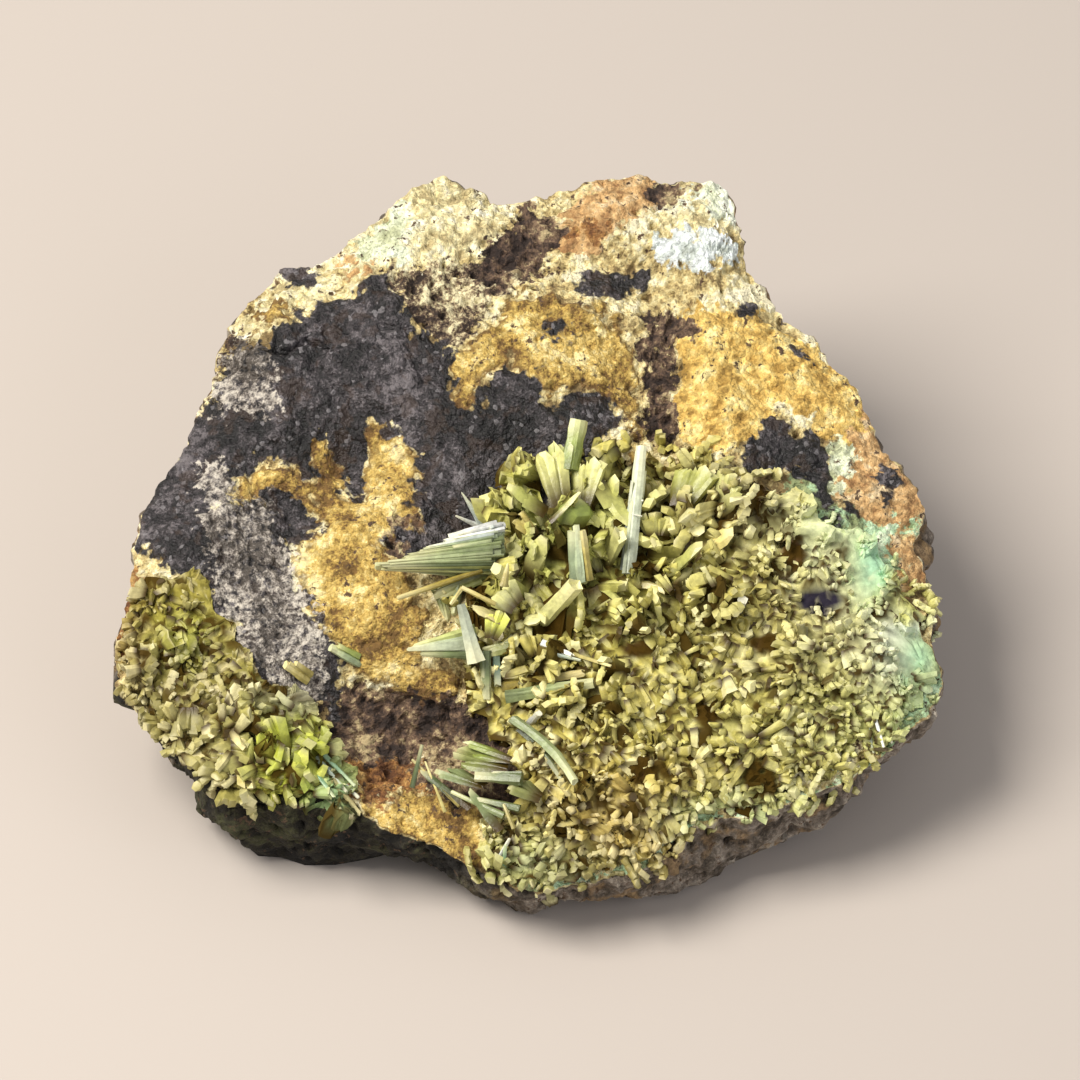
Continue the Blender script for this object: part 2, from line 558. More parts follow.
# the relief dies out at the sawn base
BASE_FADE = 1.6
relief *= soft_step(0.0, BASE_FADE, rock_points[:, 2])
hollowness = (rough - 0.25 * black * (1.0 - bumps)) * 1.6
blotch = rough_noise_at(rock_points, 5.0, 30.0)
small_blotch = rough_noise_at(rock_points, 2.2, 33.0)
rock_points = rock_points + rock_normals * relief[:, None]
rock_points[:, 2] = np.maximum(rock_points[:, 2], 0.0)
rock_mesh.vertices.foreach_set("co", rock_points.ravel())
print("relief, mm:", round(float(relief.min()), 2), "to", round(float(relief.max()), 2))

# %% Layers that the finish reads
# the broken wall at the left front is coated dark olive
SHADED_FROM, SHADED_TO = -2.0, 9.0
FRONT_LEANS = (-0.2, 0.4)
front = soft_step(*FRONT_LEANS, -rock_normals[:, 1])
for name, depth in stains.items():
    write_layer(rock_mesh, name, depth)
write_layer(rock_mesh, "wall", walls)
write_layer(rock_mesh, "shade", soft_step(SHADED_FROM, SHADED_TO, -rock_points[:, 0]) * front)
write_layer(rock_mesh, "height", hollowness)
write_layer(rock_mesh, "blotch", blotch)
write_layer(rock_mesh, "small_blotch", small_blotch)
rock_mesh.update()
print("layers of the rock:", len(rock_mesh.attributes))

# %% [markdown]
# ## Finish of the rock
# The rock is a gossan: what weathering leaves of a lead vein. Its finish is drawn in layers, each
# with its own colours and grain, and each laid over the last inside its patch. The edge of a patch
# wanders by a millimetre or so, as a stain creeps through broken rock.

# %% Noises of the gossan
rock_material, tree, shader, place = new_material("oxide_stained_gossan")


def stored(tree, name):
    """The number that a layer keeps for each vertex."""
    return add_node(tree, "ShaderNodeAttribute", attribute_name=name).outputs["Fac"]


def three_grains(tree, place, size, detail):
    """Three separate noises about 0.5, from one texture of the given grain in millimetres."""
    made = add_node(tree, "ShaderNodeTexNoise", {
        "Vector": place, "Scale": 1.0 / (size * MM), "Detail": detail, "Roughness": 0.62})
    parts = add_node(tree, "ShaderNodeSeparateColor", {"Color": made.outputs["Color"]})
    return [parts.outputs[name] for name in ("Red", "Green", "Blue")]


GRAIN = 0.75
POWDER = 0.22
coarse = three_grains(tree, place, GRAIN, 4.0)
fine = three_grains(tree, place, POWDER, 2.0)
blotches = [stored(tree, "blotch"), stored(tree, "small_blotch")]
height = stored(tree, "height")


def mottle(step, wide, narrow, powder):
    """Values about 0.5: blotches of 5 or 2 mm, grains of under 1 mm and powder, by their shares."""
    value = add_node(tree, "ShaderNodeMath", {0: blotches[step % 2], 1: wide, 2: 0.5},
                     operation="MULTIPLY_ADD").outputs["Value"]
    for share, noises in ((narrow, coarse), (powder, fine)):
        centred = combine(tree, "SUBTRACT", noises[step % 3], 0.5)
        value = add_node(tree, "ShaderNodeMath", {0: centred, 1: share, 2: value},
                         operation="MULTIPLY_ADD").outputs["Value"]
    return add_node(tree, "ShaderNodeMath", {0: height, 1: 0.22, 2: value},
                    operation="MULTIPLY_ADD").outputs["Value"]


PATCH_EDGE = 0.22


def patch(name, step, ragged):
    """Cover of a stain, whose edge the grains break up by about a millimetre or less."""
    centred = combine(tree, "SUBTRACT", coarse[(step + 1) % 3], 0.5)
    shifted = add_node(tree, "ShaderNodeMath", {0: centred, 1: ragged * 4.0, 2: stored(tree, name)},
                       operation="MULTIPLY_ADD").outputs["Value"]
    return rise(tree, shifted, -PATCH_EDGE, PATCH_EDGE)


print("grains of the gossan, mm:", GRAIN, "and", POWDER)

# %% Bare rock and broken wall
# cream to ochre limonite ground, with dark specks
ground = tinted(tree, mottle(0, 0.45, 1.0, 0.5), ["#7E6A44", "#BEAA74", "#DACC98", "#E6DEBC"],
                0.18, 0.74)
# broken wall: brown-grey quartz rock, darker and olive low down, with a little rust
wall_rock = tinted(tree, mottle(1, 0.4, 0.8, 0.5), ["#352C22", "#5C5246", "#81766A", "#A39A8C"],
                   0.15, 0.8)
wall_rust = tinted(tree, mottle(2, 0.4, 0.8, 0.5), ["#3A2B1C", "#665036", "#8E7552"], 0.2, 0.75)
rust_noise = combine(tree, "ADD", blotches[0], combine(tree, "SUBTRACT", coarse[1], 0.5))
rust_cover = rise(tree, rust_noise, 0.1, 0.6, 0.0, 0.9)
wall_colour = layered(tree, wall_rock, wall_rust, rust_cover)
wall_dark = tinted(tree, mottle(0, 0.5, 0.9, 0.4), ["#0E0C07", "#221E10", "#3A3A20"], 0.25, 0.8)
wall_colour = layered(tree, wall_colour, wall_dark, stored(tree, "shade"))
surface = layered(tree, ground, wall_colour, rise(tree, stored(tree, "wall"), 0.3, 0.7))
print("nodes for the bare rock:", len(tree.nodes))

# %% Crusts and coats
CRUSTS = [
    # stain, colours from dark to light, raggedness in mm, shares of blotch, grain and powder
    ("breccia", ["#2E221C", "#5E4C3C", "#A09070", "#DAD0A8"], 1.0, 0.45, 2.4, 0.8),
    ("cream", ["#B0A074", "#D6CA98", "#E4DAB0", "#F0ECD4"], 0.9, 0.5, 0.9, 0.5),
    ("pale_green", ["#BCC09A", "#D8DEBE", "#EAEEDC"], 0.6, 0.4, 0.8, 0.4),
    ("gold", ["#A4823E", "#D0AC5C", "#DFC070", "#EBD896"], 0.5, 0.45, 0.9, 0.6),
    ("ochre", ["#6E5228", "#AE9048", "#CBAF64", "#E8D69A"], 0.45, 0.45, 1.1, 0.7),
    ("orange", ["#967046", "#B89260", "#CCA874", "#DCC49A"], 0.8, 0.5, 0.9, 0.5),
    ("brown", ["#2A1E18", "#4E3C30", "#705A46", "#AC9A74"], 0.9, 0.6, 1.5, 0.6),
    ("rust", ["#55341A", "#845A30", "#A67C46", "#BE9C60"], 0.9, 0.4, 1.0, 0.5),
    ("mint", ["#8A9468", "#ACCA9E", "#C0DCB6", "#DEEAC8"], 0.9, 0.5, 1.0, 0.4),
]
COATS = [
    ("black", ["#0C0A0A", "#221E20", "#3B3638", "#645E60"], 0.45, 0.4, 1.5, 1.2),
    ("white", ["#9CA298", "#C2CAC4", "#DAE0DE", "#ECF2F2"], 0.6, 0.3, 0.8, 0.5),
]
covers = {}


def lay_on(surface, layers):
    """Colour of the surface with each of the layers laid over it inside its patch."""
    for step, (name, shades, ragged, wide, narrow, powder) in enumerate(layers):
        covers[name] = patch(name, step, ragged)
        shade = tinted(tree, mottle(step, wide, narrow, powder), shades, 0.18, 0.82)
        surface = layered(tree, surface, shade, covers[name])
    return surface


surface = lay_on(surface, CRUSTS)
# the ochre is rusty where it thins out at its edge, and dark specks of oxide lie on all the crusts
thin_edge = combine(tree, "MULTIPLY", covers["ochre"],
                    rise(tree, stored(tree, "ochre"), 0.0, 0.9, 0.75, 0.0))
surface = layered(tree, surface, colour("#5C4022"), thin_edge)
specks = combine(tree, "MULTIPLY", rise(tree, coarse[2], 0.57, 0.63),
                 rise(tree, blotches[1], -0.02, 0.22))
surface = layered(tree, surface, colour("#54402E"), specks)
surface = lay_on(surface, COATS)
print("stains laid on:", ", ".join(covers))

# %% Grains, rust and glints
# crystals of oxide: each grain of the skin is a little lighter or darker than the next, and in the
# black coat a few face the light and glint
GRAIN_WIDTH = 0.42
skin_grains = add_node(tree, "ShaderNodeTexVoronoi", {"Vector": place,
                                                      "Scale": 1.0 / (GRAIN_WIDTH * MM)})
grain_parts = add_node(tree, "ShaderNodeSeparateColor", {"Color": skin_grains.outputs["Color"]})
grain_shade = rise(tree, grain_parts.outputs["Red"], 0.0, 1.0, 0.78, 1.2)
shaded = add_node(tree, "ShaderNodeVectorMath", {0: surface, 1: grain_shade}, operation="MULTIPLY")
surface = shaded.outputs["Vector"]
rusty = combine(tree, "MULTIPLY", covers["black"],
                rise(tree, combine(tree, "ADD", blotches[1], coarse[2]), 0.62, 0.95, 0.0, 0.5))
surface = layered(tree, surface, colour("#3A2A20"), rusty)
glints = combine(tree, "MULTIPLY", covers["black"],
                 rise(tree, grain_parts.outputs["Green"], 0.95, 0.99, 0.0, 0.5))
surface = layered(tree, surface, colour("#8E8A8C"), glints)
# frost: grey grains of carbonate scattered over the dark coating
frost_mottle = mottle(0, 0.4, 1.6, 1.0)
frost_shade = tinted(tree, frost_mottle, ["#4E4740", "#807870", "#A29A90", "#C8C0B2"], 0.3, 0.75)
frost_cover = combine(tree, "MULTIPLY", patch("frost", 2, 1.6), rise(tree, coarse[2], 0.36, 0.54))
surface = layered(tree, surface, frost_shade, frost_cover)
print("nodes for the colour:", len(tree.nodes))

# %% Gloss and skin of the gossan
tree.links.new(surface, shader.inputs["Base Color"])
rock_gloss = mixed_value(tree, 0.88, 0.5, covers["black"])
tree.links.new(rock_gloss, shader.inputs["Roughness"])
skin_height = add_node(tree, "ShaderNodeMath", {0: fine[0], 1: 0.35, 2: coarse[0]},
                       operation="MULTIPLY_ADD").outputs["Value"]
skin_height = add_node(tree, "ShaderNodeMath", {
    0: skin_grains.outputs["Distance"], 1: -0.3, 2: skin_height},
    operation="MULTIPLY_ADD").outputs["Value"]
rough_skin = add_node(tree, "ShaderNodeBump", {"Height": skin_height, "Strength": 1.0,
                                               "Distance": 0.55 * MM})
tree.links.new(rough_skin.outputs["Normal"], shader.inputs["Normal"])
shader.inputs["IOR"].default_value = 1.5
add_piece(rock_mesh, "rock", rock_material, ["matrix"])

# %% [markdown]
# ## Seeds of the small crystals
# The beds are druses: thousands of stubby six-sided crystals, many with hollow, corroded ends. A few
# shapes are made once with bmesh operators, and each is then copied hundreds of times. A shape has
# only a few dozen faces, because the whole bed has to stay light.

# %% Strands
STRAND_RINGS = ((0.0, 0.85, 4), (0.5, 1.0, 5), (1.0, 1.0, 4))
THIN_RINGS = ((0.0, 0.9, 3), (0.55, 1.0, 4), (1.0, 1.0, 3))
UNEVEN = 0.3
WORN_TIP = 0.2
CRISP_ANGLE = math.radians(42.0)


def hull(bm, points):
    """Add the solid that a skin drawn tight round the points encloses."""
    corners = [bm.verts.new(point) for point in points]
    made = bmesh.ops.convex_hull(bm, input=corners)
    spare = {item for item in made["geom_interior"] + made["geom_unused"]
             if isinstance(item, bmesh.types.BMVert)}
    bmesh.ops.delete(bm, geom=list(spare), context="VERTS")


def strand(bm, rng, start, end, wide, thick, flare, rings=STRAND_RINGS):
    """Add one corroded strand of crystal: rings of corners at its root, waist and tip."""
    start, end = Vector(start), Vector(end)
    turn = (end - start).to_track_quat("Z", "Y").to_matrix()
    length = (end - start).length
    points = []
    for share, size, corners in rings:
        first = rng.uniform(0.0, math.tau)
        size *= flare if share == 1.0 else 1.0
        for corner in range(corners):
            angle = first + math.tau * corner / corners
            reach = size * rng.uniform(1.0 - UNEVEN, 1.0)
            along = share - (rng.uniform(0.0, WORN_TIP) if share == 1.0 else 0.0)
            points.append(start + turn @ Vector((math.cos(angle) * reach * wide,
                                                 math.sin(angle) * reach * thick, along * length)))
    hull(bm, points)


def as_seed(bm, name):
    """Mesh of a single crystal, with layers for its colour and for how far up it a point is."""
    bmesh.ops.recalc_face_normals(bm, faces=bm.faces)
    for edge in bm.edges:
        edge.smooth = edge.smooth and edge.calc_face_angle(0.0) < CRISP_ANGLE
    for face in bm.faces:
        face.smooth = True
    mesh = bpy.data.meshes.new(name)
    bm.to_mesh(mesh)
    bm.free()
    write_layer(mesh, "along", [min(max(vert.co.z, 0.0), 1.0) for vert in mesh.vertices])
    mesh.attributes.new("body_colour", "FLOAT_COLOR", "POINT")
    return mesh


print("corners round a strand:", [corners for _, _, corners in STRAND_RINGS])

# %% Chip, fork, leaf and palm


def chip(rng):
    """A single stubby crystal, corroded out of true."""
    bm = bmesh.new()
    strand(bm, rng, (0, 0, 0), (rng.uniform(-0.2, 0.2), 0, 1), 0.44, 0.38, 0.75)
    return as_seed(bm, "chip")


def fork(rng):
    """Two or three strands that part from one root."""
    bm = bmesh.new()
    for side in (-1.0, 0.0, 1.0)[:rng.choice((2, 3))]:
        tip = (0.42 * side + rng.uniform(-0.1, 0.1), rng.uniform(-0.3, 0.3), rng.uniform(0.7, 1.0))
        strand(bm, rng, (0.1 * side, 0, 0), tip, 0.27, 0.25, 0.8)
    return as_seed(bm, "fork")


def leaf(rng):
    """A thin plate that curls over."""
    bm = bmesh.new()
    curl = rng.uniform(0.15, 0.45)
    strand(bm, rng, (0, 0, 0), (0, 0.1, 0.65), 0.42, 0.2, 1.1)
    strand(bm, rng, (0, 0.08, 0.5), (0, curl, 1.0), 0.4, 0.18, 0.6)
    return as_seed(bm, "leaf")


def palm(rng):
    """Strands side by side that flare from a narrow root to a row of blunt tips."""
    bm = bmesh.new()
    for step in range(5):
        side = (step - 2) / 2.0
        tip = (0.46 * side, rng.uniform(-0.12, 0.12), rng.uniform(0.72, 1.05))
        strand(bm, rng, (0.16 * side, 0, 0), tip, 0.19, 0.24, rng.uniform(0.8, 1.2))
    return as_seed(bm, "palm")


print("turn of a crisp edge, degrees:", round(math.degrees(CRISP_ANGLE)))

# %% Wall, curl, cup and knob


def wall(rng):
    """A low curved ridge, as crystals grown in a row make."""
    bm = bmesh.new()
    bend = rng.uniform(-0.35, 0.35)
    stations = [Vector((-0.7 + 0.35 * step, bend * (1.0 - (step / 2.0 - 1.0) ** 2),
                        rng.uniform(0.35, 0.75))) for step in range(5)]
    for start, end in zip(stations, stations[1:]):
        strand(bm, rng, start - (end - start) * 0.15, end, 0.25, 0.34, 1.0)
    return as_seed(bm, "wall")


def curl(rng):
    """A thin wall that curls round a hollow and is open on one side, as etched crystals are."""
    bm = bmesh.new()
    sweep = rng.uniform(2.6, 4.4)
    for step in range(5):
        way = Vector((math.cos(sweep * step / 4.0), math.sin(sweep * step / 4.0), 0.0))
        root = way * 0.26
        tip = way * rng.uniform(0.36, 0.5) + Vector((0.0, 0.0, rng.uniform(0.55, 1.0)))
        strand(bm, rng, root, tip, 0.2, 0.16, 1.0, THIN_RINGS)
    return as_seed(bm, "curl")


def cup(rng):
    """A six-sided crystal whose end is etched hollow, with one side of its rim gone."""
    bm = bmesh.new()
    bmesh.ops.create_cone(bm, cap_ends=True, segments=6, radius1=0.36, radius2=0.5, depth=1.0)
    bmesh.ops.translate(bm, verts=bm.verts, vec=(0.0, 0.0, 0.5))
    bm.normal_update()
    end = [face for face in bm.faces if face.normal.z > 0.9]
    bmesh.ops.inset_individual(bm, faces=end, thickness=0.17, depth=-0.4)
    for vert in bm.verts:
        high = vert.co.z
        vert.co.z -= max(vert.co.x, 0.0) * high * 0.7
        away = Vector([rng.uniform(-1.0, 1.0) for _ in range(3)])
        vert.co += away * 0.09 * (0.4 + 0.6 * high)
    return as_seed(bm, "cup")


def knob(rng):
    """A crystal whose end is rounded off by etching."""
    bm = bmesh.new()
    bmesh.ops.create_icosphere(bm, subdivisions=2, radius=0.5)
    for vert in bm.verts:
        vert.co = vert.co * rng.uniform(0.8, 1.08) + Vector((0.0, 0.0, 0.5))
    return as_seed(bm, "knob")


print("share by which a strand's corners stray:", UNEVEN)

# %% Make the seeds
SHAPE_SEED = 11
SEEDS_OF_A_KIND = 5
SHAPES = {make.__name__: [make(random.Random(SHAPE_SEED + number))
                          for number in range(SEEDS_OF_A_KIND)]
          for make in (chip, fork, leaf, palm, wall, curl, cup, knob)}
print("shapes:", {name: len(meshes[0].polygons) for name, meshes in SHAPES.items()})

# %% [markdown]
# ## Colour of the crystals
# Pyromorphite is lead chlorophosphate: resinous, with a high refractive index. Each crystal carries
# its own body colour, set by where it grew: olive over most of the bed, greener by the large prisms,
# orange where iron has crept in, and minty along the right rim. The root is dark and the tip pale.

# %% Colours of the growth zones
MAIN_ZONES = [
    # name, x, v, half-width, half-height, colour, strength
    ("green of the large prisms", 3.0, 1.0, 9.0, 8.0, "#BAC26A", 0.8),
    ("yellow-green middle", 14.0, -4.0, 8.0, 6.0, "#C0BC66", 0.6),
    ("orange stain", 10.0, -27.5, 7.0, 4.5, "#C08A40", 0.6),
    ("pale green foot", 0.0, -32.0, 5.0, 2.6, "#BAC68E", 0.8),
    ("dark green lower edge", 6.4, -33.6, 7.0, 2.6, "#565434", 0.9),
    ("pale green lower edge", 20.0, -27.2, 9.0, 2.2, "#C2D096", 0.9),
    ("straw right third", 31.0, -12.0, 8.0, 9.0, "#D6CE90", 0.5),
    ("yellow-green lower right", 34.0, -18.0, 8.0, 6.0, "#BCC47A", 0.6),
    ("green of the lower middle", 18.0, -19.0, 12.0, 5.0, "#B8B660", 0.4),
    ("minty top corner", 30.0, 1.6, 5.0, 4.0, "#D6E2B4", 1.0),
    ("pale field by the corner", 31.6, -6.0, 3.8, 4.6, "#DCE0B4", 0.6),
    ("green vein in the corner", 34.4, -2.4, 2.0, 3.6, "#A4D4B2", 1.0),
    ("cream upper edge", 21.0, 3.5, 6.0, 3.5, "#DCD4A0", 0.7),
    ("yellow-green right shoulder", 38.4, -6.8, 2.8, 2.2, "#CDCE74", 0.8),
    ("white crest on the right rim", 37.6, -9.0, 2.4, 1.0, "#ECEEE0", 0.9),
    ("turquoise of the right rim", 38.6, -11.8, 2.2, 2.6, "#A0CCA4", 1.0),
    ("frosted rim", 35.6, -11.4, 2.0, 3.4, "#D8E0CC", 0.7),
    ("grey rock in the rim", 40.6, -14.4, 1.3, 1.5, "#5A5A52", 0.9),
    ("minty lower rim", 38.6, -19.0, 2.2, 3.6, "#B4D8A6", 0.8),
]
LEFT_ZONES = [
    ("lime crystals", -24.0, -21.5, 3.6, 4.6, "#B4C038", 0.95),
    ("minty needles", -19.6, -25.6, 2.6, 3.0, "#9CC08C", 0.9),
    ("ochre top", -36.0, -7.0, 4.0, 3.6, "#A89A40", 0.7),
    ("pale left rim", -40.0, -14.0, 2.5, 4.0, "#B8AC74", 0.6),
    ("frosted edge", -23.0, -15.6, 3.0, 1.4, "#DAD8BC", 0.8),
    ("dark lower edge", -30.0, -27.0, 8.0, 1.4, "#5E5A2C", 0.7),
    ("straw lower left", -33.0, -20.6, 4.4, 3.4, "#C2BA7E", 0.6),
    ("green in the top", -34.6, -9.6, 2.4, 2.6, "#A6B04C", 0.6),
    ("rusty left edge", -41.6, -7.0, 1.7, 4.4, "#8E5C30", 0.95),
]
MAIN_BODY = ["#ACA052", "#C6B966", "#D6CC80", "#E6DEA4"]
LEFT_BODY = ["#827A3E", "#988E4C", "#AAA064", "#C0B688"]
ZONE_REACH = 6.0
ZONE_FADE = 0.8


def linear(hex_value):
    """Linear colour of a hex value, as an array of three numbers."""
    return np.array(colour(hex_value)[:3])


def linear_zones(zones):
    """The zones without their names, and with their tints as linear colours."""
    return [(*zone[1:5], linear(zone[5]), zone[6]) for zone in zones]


MAIN_ZONES, LEFT_ZONES = linear_zones(MAIN_ZONES), linear_zones(LEFT_ZONES)
MAIN_BODY, LEFT_BODY = [[linear(shade) for shade in body] for body in (MAIN_BODY, LEFT_BODY)]


def body_colour(x, v, zones, body, pick, waver):
    """Linear colour at a place: pick, from 0 to 1, chooses from the bed's own colours."""
    shade = body[min(max(int(pick * len(body)), 0), len(body) - 1)]
    for at_x, at_v, half_x, half_v, tint, strength in zones:
        away = ((x - at_x) / half_x) ** 2 + ((v - at_v) / half_v) ** 2
        if away < ZONE_REACH:
            weight = strength * math.exp(-ZONE_FADE * away) * waver
            shade = shade * (1.0 - weight) + tint * weight
    return shade


print("zones of the main bed:", len(MAIN_ZONES), "and of the left bed:", len(LEFT_ZONES))

# %% Crystal material
CRYSTAL_IOR = 1.65


def crystal_material(name, roughness, gloss, root_share):
    """Resinous lead phosphate that reads the body colour stored on each crystal."""
    material, tree, shader, place = new_material(name)
    stored_body = add_node(tree, "ShaderNodeAttribute", attribute_name="body_colour")
    body, stain_share = stored_body.outputs["Color"], stored_body.outputs["Alpha"]
    along = add_node(tree, "ShaderNodeAttribute", attribute_name="along").outputs["Fac"]
    # growth clouds of 0.8 mm, lighter and darker
    cloud = rise(tree, grains(tree, place, 0.8, 4.0, 0.6, 0.2), 0.3, 0.7, 0.78, 1.18)
    clouded = add_node(tree, "ShaderNodeVectorMath", {0: body, 1: cloud}, operation="MULTIPLY")
    # iron stain in the crevices, and a bleached rim at the tip
    root = combine(tree, "MULTIPLY", rise(tree, along, 0.02, root_share, 0.97, 0.0), stain_share)
    stained = layered(tree, clouded.outputs["Vector"], colour("#402E04"), root)
    tip = rise(tree, along, 0.72, 1.0, 0.0, 0.5)
    pale = layered(tree, stained, colour("#E6DEB0"), tip)
    tree.links.new(pale, shader.inputs["Base Color"])
    shader.inputs["Roughness"].default_value = roughness
    shader.inputs["IOR"].default_value = CRYSTAL_IOR
    shader.inputs["Specular IOR Level"].default_value = gloss
    skin = add_node(tree, "ShaderNodeBump", {
        "Height": grains(tree, place, 0.35, 4.0, 0.65, 0.5), "Strength": 0.6,
        "Distance": 0.12 * MM})
    tree.links.new(skin.outputs["Normal"], shader.inputs["Normal"])
    return material


druse_material = crystal_material("olive_pyromorphite", 0.5, 0.35, 0.42)
print("nodes of the crystals' finish:", len(druse_material.node_tree.nodes))

# %% [markdown]
# ## The crust under the crystals
# Seen close, a bed is a maze: crystals have grown into each other, and etching has left their rims as
# ridges round dark crevices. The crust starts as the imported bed, divided finely, smoothed and sunk a
# little. It is then pushed in everywhere but along ridges, which are the borders between the cells
# of a Voronoi pattern and the lines where a smooth noise crosses nought.

# %% Hollows and smooth fields
HOLLOWS = [
    # x, v, half-width, half-height, how far it is raised, colour of a dark place with no crystals
    (28.8, -6.1, 2.2, 1.2, 0.4, "#2C2834"), (22.6, 4.2, 1.0, 1.6, -0.5, "#6A5040"),
    (26.2, -1.8, 1.1, 1.6, -0.5, "#6E5238"), (11.2, -3.6, 1.0, 1.3, -0.7, "#3E2E1A"),
    (3.6, -6.6, 1.7, 0.9, -0.8, "#33261A"), (-5.0, -5.4, 1.6, 0.8, -0.8, "#33261A"),
    (10.9, -11.1, 1.5, 0.7, -0.6, "#46331E"), (17.6, -17.6, 1.5, 0.8, -0.7, "#3E2C1A"),
    (0.0, -13.6, 1.5, 0.7, -0.7, "#3A2A1C"), (11.3, -23.2, 1.1, 1.2, -0.6, "#46331E"),
    (23.4, -10.5, 1.4, 0.8, -0.6, "#4E3A22"), (23.0, -23.4, 1.5, 1.2, -0.4, "#565026")]
HOLLOWS = [(*hollow[:5], linear(hollow[5])) for hollow in HOLLOWS]


def in_hollow(x, v):
    """How far a place is inside a hollow, from 0 to 1, and how the hollow is raised and coloured."""
    best, lift, shade = 0.0, 0.0, None
    for at_x, at_v, half_x, half_v, raised, tint in HOLLOWS:
        inside = 1.4 - math.hypot((x - at_x) / half_x, (v - at_v) / half_v)
        if inside > best:
            best, lift, shade = inside, raised, tint
    return min(best * 2.0, 1.0), lift, shade


SMOOTH_FIELDS = [
    # x, v, half-width, half-height of places where the crust is smooth, with few crystals on it
    (27.0, 5.0, 3.0, 1.6), (30.2, 2.2, 3.0, 2.6), (34.0, -1.6, 2.0, 3.4), (33.4, -4.6, 2.0, 2.0),
    (38.2, -11.2, 2.4, 2.4), (37.4, -8.4, 1.6, 1.6), (40.6, -14.2, 1.2, 1.4), (39.2, -18.2, 1.0, 2.6),
    (28.8, -6.1, 1.9, 1.1)]


def smoothness(x, v):
    """How smooth and bare the crust is at a place, from 0 to 1."""
    inside = max(1.3 - math.hypot((x - at_x) / half_x, (v - at_v) / half_v)
                 for at_x, at_v, half_x, half_v in SMOOTH_FIELDS)
    return min(max(inside * 2.0, 0.0), 1.0)


print("hollows:", len(HOLLOWS), "and smooth fields:", len(SMOOTH_FIELDS))

# %% Height of the maze
# noise_vector takes its shifts from the clock unless a seed is given
noise.seed_set(11)
GULLY_SHIFT = Vector((7.0, 3.0, 5.0))
# lengths in crystal widths: gullies, the maze's warp, its cells, rims, ridges and knobs
GULLY_APART = 1.5
WARP_REACH = 0.5
CELL_APART = 1.2
RIM_SHARE = 0.3
RIDGE_APART = 0.75
RIDGE_SHARP = 8.0
KNOB_APART = 0.3


def gully_depth(point, size):
    """How deep a place lies in a crevice between clumps of crystals, from 0 to 1."""
    return min(max(noise.noise(point / (GULLY_APART * size) + GULLY_SHIFT) * 2.6 - 0.1, 0.0), 1.0)


def maze_height(point, size):
    """Height in the maze of etched crystals: about 1 on a rim, and 0 or less in a crevice."""
    warped = point + noise.noise_vector(point / size) * (WARP_REACH * size)
    gaps = noise.voronoi(warped / (CELL_APART * size))[0]
    rims = 1.0 - min((gaps[1] - gaps[0]) / RIM_SHARE, 1.0)
    ridges = 1.0 - min(abs(noise.noise(warped / (RIDGE_APART * size))) * RIDGE_SHARP, 1.0)
    knobs = noise.noise(point / (KNOB_APART * size))
    return max(0.9 * rims, ridges) * (0.85 + 0.6 * knobs) - 0.6 * gully_depth(point, size)


trials = [maze_height(Vector((step * 0.37, 5.0, 1.0)), 1.0) for step in range(200)]
print("height of the maze:", round(min(trials), 2), "to", round(max(trials), 2))

# %% Crust of a bed
MAZE_DEPTH = 1.4
MAZE_LIMIT = 2.1
SMOOTH_HEIGHT = 0.62
WALL_SHADE = linear("#2C2A1A")
BELOW_EDGE = (-0.3, 1.2)


def bed_crust(node, cuts, smoothing, sink, size_at, zones, body):
    """Closed mesh of a bed's crust, and trees to cast rays on: the crust, and before its cuts."""
    bm = merged_copy(node)
    bmesh.ops.subdivide_edges(bm, edges=bm.edges[:], cuts=cuts, use_grid_fill=True)
    tops = [vert for vert in bm.verts if vert.normal.z > 0.0]
    for _ in range(smoothing):
        bmesh.ops.smooth_vert(bm, verts=tops, factor=0.5, use_axis_x=True, use_axis_y=True,
                              use_axis_z=True)
    bm.normal_update()
    uncut = BVHTree.FromBMesh(bm)
    places = face_places(np.array([vert.co for vert in bm.verts]))
    below = soft_step(*BELOW_EDGE, -depth_inside(FACE_EDGE, places))
    alongs, shades = [], []
    for vert, (x, v), dark in zip(bm.verts, places, below):
        size = min(size_at(x, v), MAZE_LIMIT)
        height = maze_height(vert.co, size)
        hollow, lift, tint = in_hollow(x, v)
        height += lift * hollow
        smooth = smoothness(x, v)
        lumps = 0.35 * noise.noise(vert.co / 1.1) + 0.3 * noise.noise(vert.co / 0.4)
        height += smooth * (SMOOTH_HEIGHT + lumps - height)
        pick = 0.5 + noise.noise(vert.co / 1.3)
        shade = body_colour(x, v, zones, body, pick, 0.9) * 0.92
        if tint is not None:
            shade = shade * (1.0 - hollow) + tint * hollow
        stain_share = 1.0 - 0.75 * smooth
        shades.append(np.append(shade * (1.0 - dark) + WALL_SHADE * dark, stain_share))
        alongs.append(min(max(0.15 + 0.85 * height, 0.0), 1.0) + 0.3 * dark)
        facing = min(max(vert.normal.z * 2.0, 0.0), 1.0)
        vert.co.z -= sink * size_at(x, v) * facing
        vert.co += vert.normal * (MAZE_DEPTH * size * (height - 1.0) * (0.25 + 0.75 * facing))
    bm.normal_update()
    tree = BVHTree.FromBMesh(bm)
    mesh = bpy.data.meshes.new(node + "_crust")
    bm.to_mesh(mesh)
    bm.free()
    write_layer(mesh, "along", alongs)
    mesh.attributes.new("body_colour", "FLOAT_COLOR", "POINT").data.foreach_set(
        "color", np.array(shades, np.float32).ravel())
    return mesh, tree, uncut


print("depth of the maze, in crystal widths:", MAZE_DEPTH)

# %% Size of the crystals


def main_bed_size(x, v):
    """Width of the crystals in the main bed, in millimetres: large at the upper left."""
    finer = 0.35 * float(soft_step(22.0, 34.0, x))
    return 1.75 - finer + 1.1 * math.exp(-((x - 6.0) ** 2 * 0.8 + (v - 1.0) ** 2 * 1.3) / 140.0)


